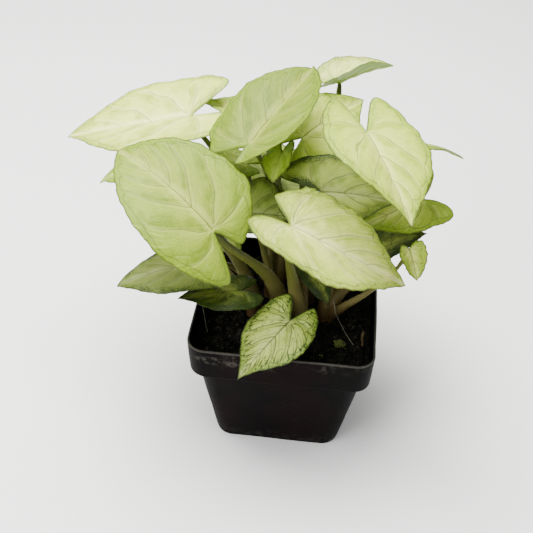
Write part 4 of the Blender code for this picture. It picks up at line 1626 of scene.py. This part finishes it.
@dataclass
class Pot:
    """The pot: a thin, square, tapered shell with a wider band at the top and four drain holes."""

    # Heights and half widths: the foot, both ends of the step under the band, and the rim.
    side: tuple[Pair, ...] = ((0.0, 25.0), (40.0, 31.2), (43.0, 34.2), (57.0, 35.0))
    # Heights of the rings that round the two bends of the step.
    bends: tuple[float, ...] = (39.4, 39.8, 40.2, 40.6, 42.4, 42.8, 43.2, 43.6)
    height: float = 57.0
    wall: float = 0.8
    soft: float = 0.12
    bow: float = 0.22
    dent: float = 0.10
    corner: float = 7.0
    corner_steps: int = 10
    side_steps: int = 14
    levels: int = 26
    floor_shares: tuple[float, ...] = (0.35, 0.7, 0.93)
    drain_radius: float = 3.0
    drain_offset: float = 14.0
    drain_sides: int = 28
    drill_length: float = 6.0
    sharp_angle: float = 38.0

    def half(self, height: float, depth: float) -> float:
        """Give half the room a depth inside the pot's outer face.

        Args:
            height: the height above the foot.
            depth: how far inside the outer face.

        Returns:
            Half the width there.
        """
        lines = []
        for (low, near), (high, far) in zip(self.side, self.side[1:]):
            slope = (far - near) / (high - low)
            lines.append(near + slope * (height - low) - depth * math.hypot(1.0, slope))
        body, step, band = lines
        return min(max(body, step), band)

    def outline(self, height: float, inset: float) -> np.ndarray:
        """Give the pot's rounded square at a height.

        Args:
            height: the height above the foot.
            inset: how far inside the outer wall.

        Returns:
            Places round the pot.
        """
        half = self.half(height, inset)
        radius = max(0.5, self.corner - inset)
        flat = np.linspace(-1.0, 1.0, self.side_steps + 1)[:-1] * (half - radius)
        swell = math.sin(math.pi * min(1.0, height / self.height))
        bow = self.bow * (1.0 - (flat / (half - radius)) ** 2) * swell
        turn = np.linspace(0.0, math.pi / 2.0, self.corner_steps + 1)[:-1]
        side = np.stack([half + bow, flat], axis=-1)
        bend = np.stack([half - radius + radius * np.cos(turn),
                         half - radius + radius * np.sin(turn)], axis=-1)
        quarter = np.concatenate([side, bend])
        turns = [np.array([[math.cos(a), -math.sin(a)], [math.sin(a), math.cos(a)]])
                 for a in (0.0, math.pi / 2, math.pi, 3 * math.pi / 2)]
        return np.concatenate([quarter @ turn_by.T for turn_by in turns])

    def rings(self) -> list[np.ndarray]:
        """Give the rings from under the floor, up the outside, over the rim and down inside.

        Returns:
            One array of places per ring.
        """
        rings = [self._ring(0.0, 0.0, share) for share in self.floor_shares]
        for height in self._heights(0.25):
            rings.append(self._ring(height, 0.0 if height > 0.6 else self.soft))
        rings.append(self._ring(self.height, self.soft))
        rings.append(self._ring(self.height, self.wall - self.soft))
        for height in reversed(self._heights(self.wall + 0.2)):
            rings.append(self._ring(height, self.wall))
        rings += [self._ring(self.wall, self.wall, share) for share in reversed(self.floor_shares)]
        return rings

    def _heights(self, lowest: float) -> list[float]:
        """Give the rings' heights up a wall, close together at the step's two bends."""
        return sorted({*np.linspace(lowest, self.height - 0.35, self.levels), *self.bends})

    def _ring(self, height: float, inset: float, share: float = 1.0) -> np.ndarray:
        """Give one ring in space, a little dented as thin plastic is.

        Args:
            height: the ring's height.
            inset: how far inside the outer wall it is.
            share: its size as a share of the whole outline.

        Returns:
            Its places.
        """
        flat = self.outline(height, inset) * share
        dent = (self.dent * np.sin(flat[:, 0] * 0.21 + height * 0.17)
                * np.sin(flat[:, 1] * 0.19 - height * 0.11))
        flat = flat * (1.0 + (dent / self.side[-1][1])[:, None])
        return np.column_stack([flat, np.full(len(flat), height)])

    def build(self) -> Any:
        """Build the pot and dress it.

        Returns:
            The pot's object.
        """
        rings = self.rings()
        around = len(rings[0])
        points = np.concatenate(rings + [np.array([[0.0, 0.0, 0.0], [0.0, 0.0, self.wall]])])
        polygons = ring_faces(len(rings), around)
        first, last = len(rings) * around, len(rings) * around + 1
        top = (len(rings) - 1) * around
        polygons += [[first, (step + 1) % around, step] for step in range(around)]
        polygons += [[last, top + step, top + (step + 1) % around] for step in range(around)]
        item = mesh_object("pot_shell", points, polygons, [PotFinish().material()])
        self._drill(item)
        return settle(item, "pot")

    def _drill(self, item: Any) -> None:
        """Cut the drain holes, each with a cylinder that is removed again.

        Args:
            item: the pot's object.
        """
        offset, radius = self.drain_offset, self.drain_radius * MM
        for x, y in ((-1, -1), (1, -1), (1, 1), (-1, 1)):
            bm = bmesh.new()
            place = Matrix.Translation((x * offset * MM, y * offset * MM, 0.0))
            bmesh.ops.create_cone(bm, cap_ends=True, segments=self.drain_sides, radius1=radius,
                                  radius2=radius, depth=self.drill_length * MM, matrix=place)
            mesh = bpy.data.meshes.new("drill")
            bm.to_mesh(mesh)
            bm.free()
            drill = bpy.data.objects.new("drill", mesh)
            bpy.context.scene.collection.objects.link(drill)
            cut = item.modifiers.new("drain", "BOOLEAN")
            cut.operation = "DIFFERENCE"
            cut.solver = "EXACT"
            cut.object = drill
            apply_modifier(item, cut)
            bpy.data.objects.remove(drill)
        item.data.shade_smooth()
        item.data.set_sharp_from_angle(angle=math.radians(self.sharp_angle))


# ---- The mix and what lies on it ----

@dataclass
class Soil:
    """The potting mix: a lumpy block with crumbs, grit, moss and old roots on it."""

    pot: Pot = field(default_factory=Pot)
    level: float = 49.0
    lump: float = 0.9
    top_rings: int = 48
    gap: float = 0.12
    # Heights of the block's foot and of the rings at the step in the pot's wall.
    wall_rings: tuple[float, ...] = (1.2, 40.4, 43.5)
    shoulder: float = 1.6
    squash: float = 0.75

    def surface(self, x: np.ndarray, y: np.ndarray) -> np.ndarray:
        """Give the height of the mix at places across the pot.

        Args:
            x: places from left to right.
            y: places from front to back.

        Returns:
            The heights.
        """
        broad = np.sin(0.19 * x + 1.3) * np.cos(0.16 * y - 0.4)
        lumps = (np.sin(0.71 * x + 0.9 * np.sin(0.53 * y))
                 * np.sin(0.63 * y + 1.1 * np.cos(0.37 * x)))
        fine = np.sin(1.37 * x + 2.0) * np.sin(1.51 * y + 0.7)
        grain = np.sin(2.9 * x + 1.7 * np.sin(2.1 * y)) * np.sin(3.1 * y + 1.3 * np.cos(2.3 * x))
        small = np.sin(5.7 * x + 2.0 * y) * np.sin(6.1 * y - 1.5 * x)
        return self.level + self.lump * (0.7 * broad + 0.8 * lumps + 0.45 * fine + 0.30 * grain
                                         + 0.12 * small)

    def build(self) -> Any:
        """Build the block with its lumpy top.

        Returns:
            The mix's object.
        """
        inset = self.pot.wall + self.gap
        brim = self.pot.outline(self.level - self.shoulder, inset)
        around = len(brim)
        points = []
        for height in self.wall_rings:
            flat = self.pot.outline(height, inset)
            points.append(np.column_stack([flat, np.full(around, height)]))
        for share in np.linspace(1.0, 0.0, self.top_rings)[:-1]:
            flat = brim * share
            points.append(np.column_stack([flat, self.surface(flat[:, 0], flat[:, 1])]))
        polygons = ring_faces(len(points), around)
        top = (len(points) - 1) * around
        middle = len(points) * around
        polygons += [[middle, top + step, top + (step + 1) % around] for step in range(around)]
        polygons.append(list(range(around))[::-1])
        centre = float(self.surface(np.zeros(1), np.zeros(1))[0])
        points.append(np.array([[0.0, 0.0, centre]]))
        item = mesh_object("potting_mix", np.concatenate(points), polygons,
                           [SoilFinish().material()])
        return settle(item, "soil")

    def carpet(self, name: str, half: float, centre: Pair, count: int = 40) -> Any:
        """Make an open patch of the mix's surface to strew things on.

        Args:
            name: the patch's name.
            half: half its width.
            centre: its middle.
            count: cells along a side.

        Returns:
            The patch's object.
        """
        line = np.linspace(-half, half, count + 1)
        x, y = (grid.ravel() for grid in np.meshgrid(line + centre[0], line + centre[1]))
        points = np.column_stack([x, y, self.surface(x, y) + 0.05])
        return mesh_object(name, points, grid_faces(count + 1, count + 1).tolist(), [])

    def strew(self, name: str, patch: Any, material: Any, density: float, size: Pair,
              seed: int) -> Any:
        """Strew small lumps over a patch.

        Args:
            name: the new piece's name.
            patch: the surface to strew on, which becomes the piece.
            material: the lumps' finish.
            density: lumps for each square metre.
            size: smallest and largest radius.
            seed: the fixed seed.

        Returns:
            The piece's object.
        """
        grower = Grower(name + "_strewing")
        spots = grower.node("GeometryNodeDistributePointsOnFaces",
                            {"Mesh": grower.geometry, "Density": grower.value("Density", density),
                             "Seed": grower.value("Seed", seed, "Int")})
        ball = grower.node("GeometryNodeMeshIcoSphere", {"Radius": 1.0, "Subdivisions": 2})
        shift = grower.wander({"Scale": 1.1, "Detail": 1.0}, 1.3)
        ball = grower.node("GeometryNodeSetPosition", {"Geometry": ball, "Offset": shift})
        turn = grower.node("FunctionNodeRandomValue",
                           {"Min": (0.0, 0.0, 0.0), "Max": (6.3, 6.3, 6.3), "Seed": seed + 1},
                           out="Value", data_type="FLOAT_VECTOR")
        low = grower.value("Smallest", size[0] * MM)
        high = grower.value("Largest", size[1] * MM)
        share = grower.node("FunctionNodeRandomValue", {"Min": 0.0, "Max": 1.0, "Seed": seed + 2},
                            out="Value", data_type="FLOAT")
        girth = low + (high - low) * share ** 3.0
        scale = grower.vector(girth, girth * 0.8, girth * self.squash)
        strewn = grower.node("GeometryNodeInstanceOnPoints",
                             {"Points": spots, "Instance": ball, "Rotation": turn, "Scale": scale})
        grower.close(strewn, material)
        item = grower.grow(patch)
        item.name = name
        return settle(item)

    def dress(self) -> list:
        """Strew the crumbs, the grit and the moss, and lay the old roots.

        Returns:
            The pieces' objects.
        """
        crumb = SoilFinish(name="crumbs", black=(0.0026, 0.0024, 0.0018),
                           brown=(0.040, 0.037, 0.026)).material()
        grit = PlainFinish("grit", (0.11, 0.10, 0.075), (0.03, 0.028, 0.02)).material()
        moss = PlainFinish("moss", (0.150, 0.170, 0.024), (0.040, 0.055, 0.007),
                           scale=2600.0).material()
        rust = PlainFinish("old_leaf", (0.11, 0.070, 0.018), (0.035, 0.020, 0.008)).material()
        pieces = [
            self.strew("soil_crumbs", self.carpet("crumbs", 30.5, (0, 0)), crumb,
                       density=300000.0, size=(0.25, 1.9), seed=11),
            self.strew("soil_grit", self.carpet("grit", 29.5, (0, 0)), grit,
                       density=16000.0, size=(0.12, 0.45), seed=23),
            self.strew("moss_right", self.carpet("moss", 2.0, (21.8, -16.6), 6), moss,
                       density=5.0e6, size=(0.30, 0.95), seed=31),
            self.strew("moss_front", self.carpet("moss_low", 1.1, (14.6, -24.6), 4), moss,
                       density=5.0e6, size=(0.25, 0.75), seed=37),
        ]
        thread = PlainFinish("dry_root", (0.20, 0.19, 0.14), (0.10, 0.09, 0.06)).material()
        pieces.append(self.roots(thread))
        pieces.append(self.scrap(rust))
        return pieces

    def roots(self, material: Any) -> Any:
        """Lay the thin dry threads that stand out of the mix.

        Args:
            material: their finish.

        Returns:
            The piece's object.
        """
        lines = (((18.0, -4.0, 60.0), (19.0, -7.0, 57.0), (21.5, -10.0, 54.0), (24.0, -13.0, 51.5),
                  (27.0, -16.5, 50.0)),
                 ((-33.2, -6.0, 57.5), (-32.5, -9.0, 56.0), (-31.0, -13.0, 53.0),
                  (-29.3, -17.0, 49.6)))
        count = 40
        paths, radii = [], []
        for line in lines:
            knots = np.array(line)
            t = np.linspace(0.0, len(knots) - 1.0, count)
            path = np.column_stack([np.interp(t, np.arange(len(knots)), values)
                                    for values in knots.T])
            path[1:-1] = (path[:-2] + 2.0 * path[1:-1] + path[2:]) / 4.0
            paths.append(path)
            radii.append(np.linspace(0.20, 0.12, count))
        item = paths_object("dry_roots", paths, radii)
        tree = tube_tree("thread_tubes", sides=8, spacing=0.0006, material=material, knobs=0.0004)
        return settle(tree.grow(item))

    def scrap(self, material: Any) -> Any:
        """Stand a dry scrap of old leaf against the right wall.

        Args:
            material: its finish.

        Returns:
            The piece's object.
        """
        up, over = 14, 8
        grids = np.meshgrid(np.linspace(0, 1, up), np.linspace(-1, 1, over))
        u, v = (grid.ravel() for grid in grids)
        width = 1.3 * np.sin(math.pi * (0.12 + 0.8 * u)) * (1.0 + 0.25 * np.sin(9.0 * u))
        x = 30.2 - 0.4 * np.cos(2.0 * v) + 0.25 * np.sin(7.0 * u)
        y = -16.0 + width * v + 1.6 * u
        z = 49.4 + 6.0 * u + 0.3 * np.sin(5.0 * v)
        item = mesh_object("old_leaf_scrap", np.column_stack([x, y, z]),
                           grid_faces(over, up).tolist(), [material])
        thick = item.modifiers.new("thickness", "SOLIDIFY")
        thick.thickness = 0.25 * MM
        thick.offset = 0.0
        return settle(item)


# ---- The studio ----

@dataclass(frozen=True)
class Lamp:
    """One soft square lamp: places and size in metres, power in watts."""

    name: str
    place: Place
    target: Place
    size: float
    power: float
    colour: Colour = (1.0, 1.0, 1.0)

    def hang(self) -> None:
        """Hang the lamp, turned to its target."""
        light = bpy.data.lights.new(self.name, "AREA")
        light.size = self.size
        light.energy = self.power
        light.color = self.colour
        item = bpy.data.objects.new(self.name, light)
        item.location = self.place
        beam = Vector(self.place) - Vector(self.target)
        item.rotation_euler = beam.to_track_quat("Z", "Y").to_euler()
        bpy.context.scene.collection.objects.link(item)


@dataclass
class Studio:
    """A plain pale floor, soft light and the camera at the photograph's angle."""

    azimuth: float = 4.6
    elevation: float = 40.0
    tilt: float = 2.6
    place: Place = (12.195, -263.434, 292.762)
    lens: float = 60.8
    sensor: float = 36.0
    floor_white: float = 0.95
    floor_half: float = 1600.0
    room_light: float = 0.64
    lamps: tuple[Lamp, ...] = (
        Lamp("overhead", (-0.15, 0.10, 0.75), (0, 0, 0.09), 0.55, 18.5, (1.0, 0.99, 0.96)),
        Lamp("front_left", (-0.55, -0.50, 0.50), (0, 0, 0.08), 0.5, 6.0),
    )

    def floor(self) -> Any:
        """Lay the floor.

        Returns:
            The floor's object.
        """
        paint = Paint("studio_floor", Roughness=0.9, Base_Color=(self.floor_white,) * 3)
        corners = np.array([[-1, -1, 0], [1, -1, 0], [1, 1, 0], [-1, 1, 0]])
        item = mesh_object("studio_floor", corners * self.floor_half, [[0, 1, 2, 3]],
                           [paint.material])
        return item

    def camera(self) -> None:
        """Set up the camera."""
        angles = (self.azimuth, self.elevation, self.tilt)
        turn, rise, tilt = (math.radians(angle) for angle in angles)
        back = Vector((math.sin(turn) * math.cos(rise), -math.cos(turn) * math.cos(rise),
                       math.sin(rise)))
        right = Vector((math.cos(turn), math.sin(turn), 0.0))
        up = back.cross(right)
        level = right * math.cos(tilt) + up * math.sin(tilt)
        above = up * math.cos(tilt) - right * math.sin(tilt)
        data = bpy.data.cameras.new("camera")
        data.lens = self.lens
        data.sensor_width = self.sensor
        data.clip_start = 0.01
        item = bpy.data.objects.new("camera", data)
        item.matrix_world = Matrix.Translation(Vector(self.place) * MM) @ Matrix(
            (level, above, back)).transposed().to_4x4()
        bpy.context.scene.collection.objects.link(item)
        bpy.context.scene.camera = item

    def build(self) -> None:
        """Set up the whole studio."""
        self.floor()
        world = bpy.data.worlds.new("soft_room")
        world.use_nodes = True
        glow = world.node_tree.nodes["Background"]
        glow.inputs["Color"].default_value = (1.0, 1.0, 1.0, 1.0)
        glow.inputs["Strength"].default_value = self.room_light
        bpy.context.scene.world = world
        for lamp in self.lamps:
            lamp.hang()
        self.camera()


def main() -> None:
    """Build the dressed plant and its studio."""
    logging.basicConfig(level=logging.INFO, format="%(message)s")
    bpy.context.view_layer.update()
    Pot().build()
    soil = Soil()
    soil.build()
    soil.dress()
    stalks = StalkFinish().material()
    for shoot in SHOOTS:
        shoot.build(stalks)
    Foliage().build()
    Studio().build()


if __name__ == "__main__":
    main()
